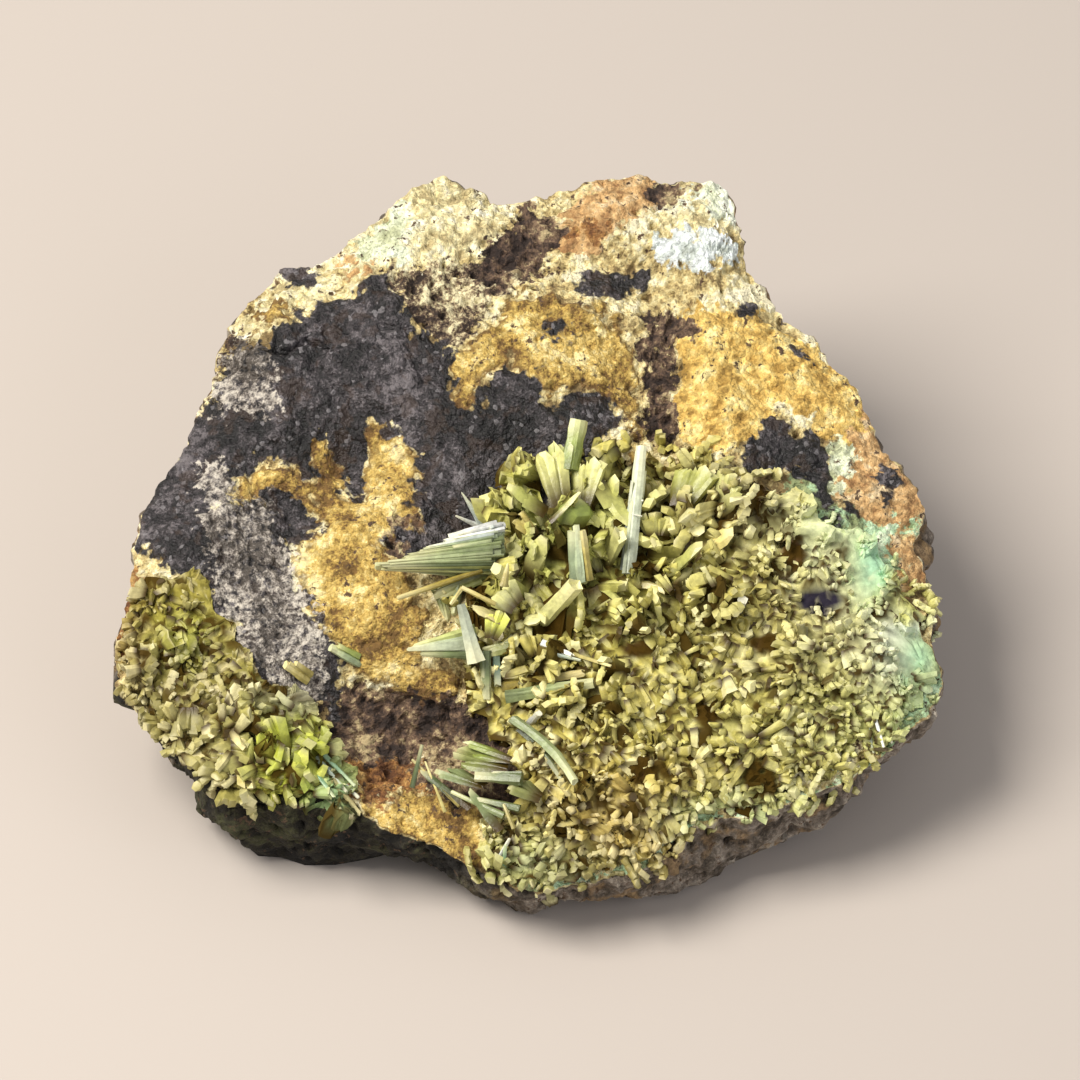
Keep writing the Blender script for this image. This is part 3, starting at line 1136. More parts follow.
def left_bed_size(x, v):
    """Width of the crystals in the left bed, in millimetres."""
    return 1.7 + 1.1 * math.exp(-((x + 26.0) ** 2 + (v + 22.0) ** 2) / 30.0)


print("widths, mm:", round(main_bed_size(6.0, 1.0), 1), "and", round(main_bed_size(34.0, -15.0), 1))

# %% Make both crusts
CRUST_SMOOTHING = 16
rock_tree = BVHTree.FromPolygons([Vector(p) for p in rock_points],
                                [face.vertices[:] for face in rock_mesh.polygons])
main_crust, main_tree, main_uncut = bed_crust(
    "main_crystal_bed", 5, CRUST_SMOOTHING, 0.55, main_bed_size, MAIN_ZONES, MAIN_BODY)
left_crust, left_tree, left_uncut = bed_crust(
    "left_crystal_bed", 6, CRUST_SMOOTHING, 0.5, left_bed_size, LEFT_ZONES, LEFT_BODY)
crust_material = crystal_material("etched_pyromorphite_crust", 0.9, 0.08, 0.68)
add_piece(main_crust, "main_bed_crust", crust_material, ["main_crystal_bed"])
add_piece(left_crust, "left_bed_crust", crust_material, ["left_crystal_bed"])

# %% [markdown]
# ## Growing the beds
# Crystals in a druse start from many points and fan out from each, so neighbours lean apart. Places
# are thrown at random inside the bed's outline and kept if they stand clear of the others by about
# a crystal's width. A ray from the viewer then finds the crust, and the crystal stands on it.

# %% Outlines of the beds
MAIN_BED = [
    (-3.4, 3.6), (-0.8, 8.2), (4.0, 10.0), (10.0, 10.0), (17.0, 9.0), (20.5, 6.6), (26.0, 5.8),
    (28.0, 3.8), (32.0, 2.0), (35.0, -0.8), (38.4, -4.6), (41.0, -6.5), (40.6, -10.5),
    (41.6, -14.0), (40.6, -17.4), (37.6, -20.9), (34.4, -23.6), (28.5, -26.4), (21.0, -28.4),
    (16.0, -29.4), (12.0, -33.2), (7.0, -35.0), (2.0, -35.8), (-3.2, -34.6), (-6.0, -32.2),
    (-4.4, -29.0), (-1.4, -26.6), (-0.4, -22.0), (-1.6, -19.0), (-4.2, -16.4), (-6.4, -13.0),
    (-5.6, -9.6), (-7.4, -7.0), (-8.6, -4.4), (-4.6, -1.6)]
LEFT_BED = [
    (-38.8, -5.4), (-36.5, -4.4), (-34.4, -5.4), (-32.6, -8.6), (-30.0, -11.6), (-28.0, -14.6),
    (-24.6, -16.4), (-21.0, -18.4), (-20.0, -21.4), (-18.6, -24.4), (-21.6, -25.4),
    (-29.0, -25.2), (-34.0, -22.6), (-36.8, -19.4), (-40.6, -15.0), (-41.0, -11.6),
    (-39.6, -8.0)]
STANDING = [
    # x and v of two ends, half-width: places kept for the large crystals
    (3.2, 3.2, 1.7, 9.6, 1.5), (4.0, 7.0, 4.9, 12.0, 1.0), (5.2, 3.8, 5.9, 8.0, 1.3),
    (4.4, 1.4, 4.3, 2.8, 2.0), (5.0, -3.6, 4.6, 1.0, 1.4), (9.9, -2.8, 11.1, 9.0, 0.9),
    (-1.8, -6.4, -3.4, -4.6, 1.2), (-2.4, -8.0, -6.0, -7.0, 0.9), (-3.6, -9.6, -3.2, -8.0, 1.0),
    (-2.4, -14.9, 6.0, -13.8, 0.8), (-1.4, -17.4, 6.0, -24.6, 0.8), (1.2, -10.4, 4.6, -11.5, 0.6),
    (20.9, -6.8, 21.0, -6.0, 0.6), (1.4, -8.0, 4.6, -4.4, 1.0)]


def kept_free(x, v):
    """Whether a place is kept for one of the standing crystals."""
    for x0, v0, x1, v1, half in STANDING:
        run, lift = x1 - x0, v1 - v0
        share = min(max(((x - x0) * run + (v - v0) * lift) / (run * run + lift * lift), 0.0), 1.0)
        if math.hypot(x - x0 - run * share, v - v0 - lift * share) < half:
            return True
    return False


print("places kept free:", len(STANDING))

# %% Scatter the places
CROWDING = 0.48
TRIES = 60000
BED_MARGIN = 0.3
CELL_WIDTH = 1.5


def scattered(outline, size_at, rng):
    """Places inside an outline, each clear of the last by about a crystal's width."""
    corners = np.array(outline)
    low, high = corners.min(0) - BED_MARGIN, corners.max(0) + BED_MARGIN
    tried = np.array([[rng.uniform(low[0], high[0]), rng.uniform(low[1], high[1])]
                      for _ in range(TRIES)])
    tried = tried[depth_inside(outline, tried) > -BED_MARGIN]
    taken = {}
    places = []
    for x, v in tried:
        room = CROWDING * size_at(x, v)
        cell = (math.floor(x / CELL_WIDTH), math.floor(v / CELL_WIDTH))
        near = [place for i in (-1, 0, 1) for j in (-1, 0, 1)
                for place in taken.get((cell[0] + i, cell[1] + j), [])]
        if all((x - a) ** 2 + (v - b) ** 2 > room * room for a, b in near):
            taken.setdefault(cell, []).append((x, v))
            places.append((x, v))
    return places


print("places tried in each bed:", TRIES)

# %% Lean, and depth in a crevice
ROSETTE = 5.5
RIM_SUNK = 0.5


def rosette_lean(x, v, seed):
    """Which way a crystal leans on the face, away from the middle of its rosette."""
    cell = Vector((x / ROSETTE, v / ROSETTE, seed))
    centre = noise.voronoi(cell)[1][0]
    return (cell.x - centre.x), (cell.y - centre.y)


def step_inside(mesh):
    """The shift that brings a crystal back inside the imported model's box."""
    points = np.empty(len(mesh.vertices) * 3)
    mesh.vertices.foreach_get("co", points)
    points = points.reshape(-1, 3)
    over = np.maximum(points.max(0) - BOX_HIGH, 0.0)
    under = np.maximum(BOX_LOW - points.min(0), 0.0)
    return Vector(under - over)


def depth_in_crust(uncut, x, v, point, size):
    """How deep in its crevice a place on the crust lies: about 0 on a rim and 1 at the bottom."""
    found = seen_surface([uncut], x, v)
    if found is None:
        return 0.0
    return ((out_of(found[0]) - out_of(point)) / size - RIM_SUNK) / MAZE_DEPTH


print("rosettes are about", ROSETTE, "mm apart")

# %% Grow a bed
LARGE_FROM = 2.2
LARGE_MIX = {"palm": 0.36, "leaf": 0.22, "fork": 0.16, "wall": 0.18, "curl": 0.06, "cup": 0.02}
FINE_MIX = {"chip": 0.06, "fork": 0.34, "leaf": 0.16, "palm": 0.12, "wall": 0.2, "curl": 0.1,
            "cup": 0.02}
RIM_FROM, RIM_TO = 0.25, 0.6
CREVICE_SHADE = 0.75
BARE_SHARE = 0.9
WALL_LEAN = 0.3
# how much a crystal leans out of its rosette, and how far chance turns it
LEAN = 1.5
STRAY = 0.4


def finished(bm, name):
    """A mesh made from a bmesh, which is then freed."""
    mesh = bpy.data.meshes.new(name)
    bm.to_mesh(mesh)
    bm.free()
    return mesh


def grow_bed(name, outline, trees, uncut, size_at, zones, body, seed):
    """Druse of one bed, as one mesh of many crystals."""
    rng = random.Random(seed)
    bm = bmesh.new()
    count = 0
    for x, v in scattered(outline, size_at, rng):
        found = seen_surface(trees, x, v)
        if found is None or kept_free(x, v) or rng.random() < in_hollow(x, v)[0]:
            continue
        point, normal = found
        size = size_at(x, v)
        deep = depth_in_crust(uncut, x, v, point, min(size, MAZE_LIMIT))
        crevice = float(soft_step(RIM_FROM, RIM_TO, deep))
        if rng.random() < crevice or rng.random() < BARE_SHARE * smoothness(x, v):
            continue
        lean_x, lean_v = rosette_lean(x, v, seed)
        axis = normal * 0.7 + TO_VIEWER * 0.5 + ACROSS * lean_x * LEAN + UP_FACE * lean_v * LEAN
        axis += Vector([rng.uniform(-STRAY, STRAY) for _ in range(3)])
        axis.normalize()
        width = size * rng.uniform(0.7, 1.3)
        length = width * rng.uniform(0.6, 1.15)
        mix = LARGE_MIX if size > LARGE_FROM else FINE_MIX
        kind = rng.choices(list(mix), list(mix.values()))[0]
        shape = rng.choice(SHAPES[kind]).copy()
        if kind == "palm":
            width *= 1.3
            length *= 1.4
        shade = body_colour(x, v, zones, body, rng.random(), rng.uniform(0.6, 1.0))
        shade = shade * rng.uniform(0.84, 1.08) * (1.0 - CREVICE_SHADE * crevice)
        shape.attributes["body_colour"].data.foreach_set(
            "color", np.tile(np.append(shade, 1.0), len(shape.vertices)).astype(np.float32))
        turn = axis.to_track_quat("Z", "Y").to_matrix().to_4x4()
        spin = Matrix.Rotation(rng.uniform(0.0, math.tau), 4, "Z")
        flat = rng.uniform(0.7, 1.0)
        if normal.z < WALL_LEAN and seen_surface(trees[:1], x, v) is None:
            # past the edge of the crust, on the broken wall of the rock, nothing grows
            bpy.data.meshes.remove(shape)
            continue
        grown = Matrix.Diagonal((width, width * flat, length, 1.0))
        root = point - axis * length * (0.2 + 0.3 * crevice)
        shape.transform(Matrix.Translation(root) @ turn @ spin @ grown)
        shape.transform(Matrix.Translation(step_inside(shape)))
        bm.from_mesh(shape)
        bpy.data.meshes.remove(shape)
        count += 1
    print(f"{name}: {count} crystals")
    return finished(bm, name)


# %% Both druses
main_druse = grow_bed("main_bed_crystals_1", MAIN_BED, [main_tree, rock_tree], main_uncut,
                      main_bed_size, MAIN_ZONES, MAIN_BODY, 4)
left_druse = grow_bed("left_bed_crystals_1", LEFT_BED, [left_tree, rock_tree], left_uncut,
                      left_bed_size, LEFT_ZONES, LEFT_BODY, 9)
add_piece(main_druse, "main_bed_crystals_1", druse_material, ["main_crystal_bed"])
add_piece(left_druse, "left_bed_crystals_1", druse_material, ["left_crystal_bed"])

# %% [markdown]
# ## Large prisms and bundles
# Here and there a crystal had room and grew into a long six-sided prism, ribbed along its length
# because it is many thin prisms side by side. Each is placed by where its root and its tip are seen.
# It starts as a cone with almost no taper, its long edges are cut, and every rib is pushed in by its
# own amount, which gives the striations that a smooth prism lacks.

# %% One ribbed prism
TINTS = {
    "grey green": ["#84925F", "#98A572", "#727F52", "#AAB584"],
    "green": ["#98A650", "#AAB462", "#8A984A", "#BAC27A"],
    "yellow green": ["#BEBE6C", "#CCCA80", "#B2B462", "#D6D490"],
    "pale green": ["#B8C6A0", "#C8D2B0", "#AABA92", "#D2DABE"],
    "deep green": ["#626F44", "#74814F", "#56623A", "#889460"],
    "dark teal": ["#6E8270", "#7E907A"],
    "olive": ["#8C9052", "#A0A264", "#7C8248"],
    "lime": ["#D6DA66", "#E2E480", "#CCD258"],
    "khaki": ["#B8A652", "#CABA68", "#A69446"],
    "straw": ["#D2C47C", "#DED294", "#C4B468"],
    "frosty": ["#C6D0C8", "#D8DEDA", "#B4C2B4"],
    "mint": ["#9CC09A", "#B4D0AE", "#8CB48C"],
    "white": ["#E4E6E0", "#EEF0EC"],
}
END_FORMS = {"hopper": (0.62, 0.20), "flat": (0.80, 0.02), "point": (0.3, -0.10), "broken": (0.7, 0.05)}
PRISM_SIDES = 9
PRISM_RINGS = 4
ROOT_SHADE = 0.5
SIDE_STRANDS = 3
SLIM = 0.6
ROOT_DIM = 0.6
TIP_BRIGHT = 1.1
WAIST = (0.86, 1.08)
STRAY_REACH = (0.94, 1.06)
JAG_FROM = 0.9
JAGS = {"broken": 0.9}
CLEAN_JAG = 0.1
LEVEL_WITHIN = 0.08


def stand_up(bm, mesh, root, tip, across, shade):
    """Add a copy of an upright shape of height 1, laid from root to tip with its colour."""
    axis = tip - root
    height = np.array([min(max(vert.co.z, 0.0), 1.0) for vert in mesh.vertices])
    dim = ROOT_DIM + (TIP_BRIGHT - ROOT_DIM) * height
    shades = np.column_stack([np.outer(dim, shade), np.ones(len(height))])
    mesh.attributes["body_colour"].data.foreach_set("color", shades.ravel().astype(np.float32))
    turn = axis.to_track_quat("Z", "Y").to_matrix().to_4x4()
    size = Matrix.Diagonal((across[0], across[1], axis.length, 1.0))
    mesh.transform(Matrix.Translation(root) @ turn @ across[2] @ size)
    mesh.transform(Matrix.Translation(step_inside(mesh)))
    bm.from_mesh(mesh)
    bpy.data.meshes.remove(mesh)


def edge_of_cap(edge):
    """Whether an edge lies between a side and the flat or hollow end."""
    return any(abs(face.normal.z) > 0.5 for face in edge.link_faces)


def ribbed_prism(length, rng, taper, end, flute, bow):
    """Mesh of one upright ribbed prism of height 1 and radius 1."""
    bm = bmesh.new()
    bmesh.ops.create_cone(bm, cap_ends=True, segments=PRISM_SIDES, radius1=1.0, radius2=taper,
                          depth=1.0)
    bmesh.ops.translate(bm, verts=bm.verts, vec=(0.0, 0.0, 0.5))
    long_edges = [edge for edge in bm.edges if abs(edge.verts[0].co.z - edge.verts[1].co.z) > 0.5]
    bmesh.ops.subdivide_edges(bm, edges=long_edges, cuts=PRISM_RINGS)
    ribs = [1.0 - flute * rng.random() - (flute if side % 2 else 0.0) for side in range(PRISM_SIDES)]
    jag = [rng.uniform(-1.0, 0.0) for _ in range(PRISM_SIDES)]
    waist = [rng.uniform(*WAIST) for _ in range(PRISM_RINGS + 2)]
    for vert in bm.verts:
        side = round(math.atan2(vert.co.y, vert.co.x) / math.tau * PRISM_SIDES) % PRISM_SIDES
        ring = round(vert.co.z * (PRISM_RINGS + 1))
        reach = ribs[side] * waist[ring] * rng.uniform(*STRAY_REACH)
        vert.co.x *= reach
        vert.co.y *= reach
        if vert.co.z > JAG_FROM:
            vert.co.z += jag[side] * JAGS.get(end, CLEAN_JAG) / length
    bm.normal_update()
    keep, sink = END_FORMS[end]
    caps = [face for face in bm.faces if len(face.verts) > 4 and face.normal.z > 0.5]
    bmesh.ops.inset_individual(bm, faces=caps, thickness=(1.0 - keep) * taper * 0.8,
                               depth=-sink / length * 2.0)
    for vert in bm.verts:
        vert.co.x += bow * math.sin(math.pi * min(vert.co.z, 1.0))
    for edge in bm.edges:
        level = abs(edge.verts[0].co.z - edge.verts[1].co.z) < LEVEL_WITHIN
        edge.smooth = level and not edge_of_cap(edge)
    mesh = as_seed(bm, "prism")
    layer = mesh.attributes["along"].data
    layer.foreach_set("value", [ROOT_SHADE + (1.0 - ROOT_SHADE) * min(max(vert.co.z, 0.0), 1.0)
                                for vert in mesh.vertices])
    return mesh


print("tints of the prisms:", ", ".join(TINTS))

# %% Add a crystal


def prism(bm, root, tip, radius, tint, rng, taper=0.85, end="flat", flute=0.16, bow=0.0, flat=0.8):
    """Add a crystal from root to tip: a seed form, or a ribbed prism with strands along its sides."""
    length = (tip - root).length
    shade = np.array(colour(rng.choice(TINTS[tint]))[:3]) * rng.uniform(0.85, 1.12)
    spin = Matrix.Rotation(rng.uniform(0.0, math.tau), 4, "Z")
    if end in SHAPES:
        flat_on = Matrix.Rotation(rng.uniform(-0.3, 0.3), 4, "Z")
        stand_up(bm, rng.choice(SHAPES[end]).copy(), root, tip,
                 (2.0 * radius, 1.4 * radius, flat_on), shade)
        return
    body = ribbed_prism(length / radius, rng, taper, end, flute, bow / radius)
    still = Matrix.Identity(4) if bow else spin
    stand_up(bm, body, root, tip, (radius, radius * flat, still), shade)
    if bow or radius < SLIM:
        return
    side_way = (tip - root).cross(TO_VIEWER).normalized()
    for _ in range(SIDE_STRANDS):
        shift = side_way * rng.uniform(-0.75, 0.75) * radius
        shift += TO_VIEWER * rng.uniform(0.0, 0.45) * radius
        reach = rng.uniform(0.5, 0.98)
        thin = radius * rng.uniform(0.3, 0.5)
        extra = ribbed_prism(length * reach / thin, rng, 0.8 * taper, "broken", flute, 0.0)
        stand_up(bm, extra, root + shift, root + (tip - root) * reach + shift * taper,
                 (thin, thin, spin), shade * rng.uniform(0.8, 1.2))


prism_material = crystal_material("grey_green_pyromorphite", 0.35, 0.4, 0.6)
print("strands along a wide prism:", SIDE_STRANDS)

# %% Where a packed cluster stands
CLUSTER_AXES = {
    "prism_sheaf": ((-3.4, -0.8), (-15.0, -2.4)), "fan_prisms": ((2.4, 3.6), (2.6, 11.4)),
    "pale_spray": ((-5.0, 1.8), (-6.8, 4.8)), "crossing_prisms": ((-4.4, -9.2), (-12.0, -10.9)),
    "lower_blades": ((-3.0, -24.6), (-10.8, -20.8)),
    "lone_green_crystal": ((-17.2, -12.2), (-19.8, -10.6)),
    "cream_crystal": ((-22.2, -13.8), (-24.4, -12.4))}


def node_tree(node):
    """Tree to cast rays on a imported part, in millimetres."""
    bm = merged_copy(node)
    tree = BVHTree.FromBMesh(bm)
    bm.free()
    return tree


def cluster_plane(node, root, tip):
    """Function that gives how far out a cluster lies at any place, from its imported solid."""
    tree = node_tree(node)
    side = Vector((root[1] - tip[1], tip[0] - root[0])).normalized()
    found = []
    for share in (0.25, 0.4, 0.55, 0.7, 0.85):
        for shift in (0.0, 0.4, -0.4, 0.8, -0.8, 1.2, -1.2):
            x = root[0] + (tip[0] - root[0]) * share + side.x * shift
            v = root[1] + (tip[1] - root[1]) * share + side.y * shift
            hit = seen_surface([tree], x, v)
            if hit:
                found.append((share, out_of(hit[0])))
    shares, outs = np.array(found).T
    slope, start = np.polyfit(shares, outs, 1)
    length = (tip[0] - root[0]) ** 2 + (tip[1] - root[1]) ** 2
    print(f"{node}: {start:.1f} mm out at its root, {start + slope:.1f} mm at its tip")

    def out_at(x, v):
        """How far out the cluster's upper side lies at a place."""
        share = ((x - root[0]) * (tip[0] - root[0]) + (v - root[1]) * (tip[1] - root[1])) / length
        return start + slope * min(max(share, -0.2), 1.15)
    return out_at


print("clusters:", ", ".join(CLUSTER_AXES))

# %% Strands of the standing clusters
STRANDS = {
    # x and v of the root, x and v of the tip, lift (of root and tip), radius, taper, end, tint
    "prism_sheaf": [
        (-4.8, -3.0, -13.2, -5.8, 0.3, 0.46, 0.7, "point", "khaki"),
        (-5.0, -3.6, -9.8, -5.6, -0.3, 0.90, 0.8, "broken", "olive"),
        (-9.0, -4.6, -8.2, -8.0, -0.5, 1.10, 0.35, "point", "olive"),
        (-7.2, -4.4, -7.6, -7.4, -0.4, 0.90, 0.50, "point", "grey green"),
        (-3.4, -1.6, -6.0, -2.4, -0.9, 1.70, 0.80, "flat", "dark teal"),
    ],
    "fan_prisms": [
        (3.2, 3.2, 1.6, 10.2, (0.9, 0.7), 1.45, 1.00, "palm", "yellow green"),
        (3.0, 3.4, 2.2, 9.6, (0.2, 0.0), 1.30, 1.00, "palm", "green"),
        (4.0, 7.0, 4.9, 12.0, 0.0, 1.05, 1.00, "flat", "green"),
        (5.2, 3.2, 6.0, 8.4, (0.6, 0.8), 1.50, 1.00, "palm", "yellow green"),
        (6.2, 6.4, 10.0, 1.2, 0.5, 1.70, 0.80, "leaf", "yellow green"),
        (4.4, 0.7, 4.3, 4.3, (1.3, 1.5), 1.95, 0.60, "knob", "green"),
        (2.0, 1.8, 5.0, 4.6, (1.7, 1.9), 0.50, 0.60, "leaf", "yellow green"),
        (4.3, -4.0, 4.1, 0.9, (2.0, 2.9), 0.55, 0.85, "flat", "pale green"),
        (5.1, -4.2, 4.6, 1.5, (2.1, 3.0), 0.60, 0.85, "flat", "pale green"),
        (5.9, -4.0, 5.2, 1.0, (2.0, 2.9), 0.55, 0.85, "flat", "straw"),
        (1.6, 2.8, -2.4, 4.9, 0.0, 1.30, 0.70, "leaf", "yellow green"),
        (0.6, 0.4, -1.6, 2.6, 0.2, 1.10, 0.80, "palm", "straw"),
    ],
    "pale_spray": [
        (-4.6, 1.4, -6.8, 4.7, 0.0, 0.60, 0.15, "point", "frosty"),
        (-4.2, 1.6, -5.0, 3.4, 0.1, 0.45, 0.30, "point", "white"),
        (-5.2, 1.4, -7.4, 2.4, -0.1, 0.35, 0.30, "point", "white"),
    ],
    "crossing_prisms": [
        (-5.4, -9.0, -11.5, -10.6, 0.1, 0.85, 0.40, "point", "green"),
        (-5.2, -10.2, -12.1, -10.9, 0.3, 0.95, 0.30, "point", "pale green"),
        (-5.4, -11.3, -10.8, -11.3, 0.0, 0.75, 0.40, "point", "grey green"),
        (-6.9, -6.4, -5.4, -12.2, 1.5, 0.46, 2.10, "flat", "pale green"),
        (-4.4, -11.0, -4.3, -16.0, 0.1, 0.62, 0.90, "broken", "grey green"),
        (-3.4, -11.4, -3.2, -14.6, -0.3, 0.50, 0.90, "broken", "dark teal"),
        (-1.4, -10.6, -4.8, -11.4, -0.3, 0.95, 0.90, "broken", "olive"),
        (-3.8, -9.8, -3.0, -7.0, 0.7, 1.00, 0.95, "palm", "lime"),
        (-2.0, -8.4, -6.0, -6.8, 0.4, 1.20, 0.80, "leaf", "straw"),
        (-6.7, -4.7, -7.9, -6.4, 0.5, 0.28, 0.8, "point", "straw"),
        (-3.4, -6.4, -6.8, -4.7, 0.6, 0.30, 0.8, "flat", "straw"),
        (-1.4, -6.6, -3.4, -4.6, 0.5, 1.70, 0.80, "palm", "yellow green"),
        (-2.6, -4.6, -2.2, -2.4, 0.4, 0.55, 0.30, "point", "straw"),
    ],
    "lower_blades": [
        (-11.7, -24.6, -10.7, -20.3, 0.5, 0.42, 0.7, "flat", "deep green"),
        (-6.0, -26.6, -10.9, -22.9, 0.2, 0.60, 0.6, "leaf", "deep green"),
        (-7.0, -26.4, -11.7, -21.8, 0.0, 0.30, 0.5, "point", "straw"),
        (-8.4, -27.0, -10.4, -22.0, 0.1, 0.26, 0.5, "point", "straw"),
        (-3.0, -28.8, -6.2, -24.6, 0.3, 0.75, 0.6, "leaf", "grey green"),
        (-2.2, -22.6, -7.6, -21.4, 0.5, 1.20, 0.8, "palm", "olive"),
        (-2.0, -21.8, -7.0, -20.4, 0.2, 0.90, 0.8, "fork", "green"),
        (-0.8, -23.6, -5.4, -23.4, 0.8, 0.85, 0.85, "flat", "deep green"),
        (1.0, -25.6, -2.0, -24.0, 0.6, 1.00, 0.8, "palm", "olive"),
        (-1.0, -26.6, -5.6, -25.6, 0.1, 0.50, 0.6, "point", "deep green"),
        (-2.6, -27.4, -7.8, -25.0, 0.0, 0.45, 0.6, "point", "deep green"),
        (-1.6, -28.6, -2.6, -26.2, 0.2, 0.30, 0.6, "point", "straw"),
        (-4.6, -24.4, -9.4, -22.6, 0.3, 0.80, 0.7, "palm", "deep green"),
    ],
    "lone_green_crystal": [
        (-17.0, -12.3, -19.9, -10.7, 0.0, 0.75, 0.85, "flat", "pale green"),
        (-17.0, -11.6, -19.3, -10.4, 0.1, 0.50, 0.70, "broken", "green"),
    ],
    "cream_crystal": [
        (-22.2, -13.9, -24.4, -12.4, 0.0, 0.75, 0.8, "flat", "straw"),
        (-21.8, -13.4, -23.4, -12.2, 0.2, 0.55, 0.7, "broken", "straw"),
    ],
}
print("strands set out one by one:", sum(len(strands) for strands in STRANDS.values()))

# %% Strands of the sheaf
SHEAF_STRANDS = 64
SHEAF_LAYERS = 3
SHEAF_ROOT = (-3.0, 1.6, -3.4)
SHEAF_TIP = (-15.4, -1.5, -2.9)
SHEAF_BULGE = 0.7
SHEAF_BANDS = ((0.06, "white"), (0.16, "frosty"), (0.26, "pale green"), (0.7, "grey green"),
               (0.88, "deep green"), (1.1, "olive"))


def sheaf_strands(rng):
    """Thin prisms side by side: x, upper v and lower v of the wide root and of the narrow tip."""
    strands = []
    for number in range(SHEAF_STRANDS):
        share = number / (SHEAF_STRANDS - 1)
        wander = rng.uniform(-0.04, 0.04)
        root_v = SHEAF_ROOT[1] + (SHEAF_ROOT[2] - SHEAF_ROOT[1]) * share
        tip_v = SHEAF_TIP[1] + (SHEAF_TIP[2] - SHEAF_TIP[1]) * (share + 3.0 * wander)
        reach = min(0.42 + 0.85 * share, 1.0) - rng.random() ** 2 * 0.4
        tip_x = SHEAF_ROOT[0] + (SHEAF_TIP[0] - SHEAF_ROOT[0]) * reach
        tint = next(name for limit, name in SHEAF_BANDS if share + 2.0 * wander < limit)
        under = number % SHEAF_LAYERS
        bulge = SHEAF_BULGE * (1.0 - (2.0 * share - 1.0) ** 2)
        strands.append((SHEAF_ROOT[0] + rng.uniform(-0.9, 0.5), root_v, tip_x,
                        root_v + (tip_v - root_v) * reach,
                        bulge + rng.uniform(-0.1, 0.1) - 0.25 * under,
                        rng.uniform(0.2, 0.36) + 0.2 * under, rng.uniform(0.35, 0.7),
                        rng.choice(["point", "broken"]), tint))
    return strands


print("strands side by side in the sheaf:", SHEAF_STRANDS)

# %% Grow the clusters


def grow_cluster(node, rng):
    """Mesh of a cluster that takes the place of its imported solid."""
    out_at = cluster_plane(node, *CLUSTER_AXES[node])
    strands = STRANDS[node] + (sheaf_strands(rng) if node == "prism_sheaf" else [])
    bm = bmesh.new()
    for x0, v0, x1, v1, lift, radius, taper, end, tint in strands:
        low, high = lift if isinstance(lift, tuple) else (lift, lift)
        root = on_face(x0, v0, out_at(x0, v0) + low - radius)
        tip = on_face(x1, v1, out_at(x1, v1) + high - radius * taper)
        prism(bm, root, tip, radius, tint, rng, taper=taper, end=end)
    return finished(bm, node)


for number, node in enumerate(CLUSTER_AXES):
    cluster = grow_cluster(node, random.Random(100 + number))
    add_piece(cluster, "dressed_" + node, prism_material, [node])

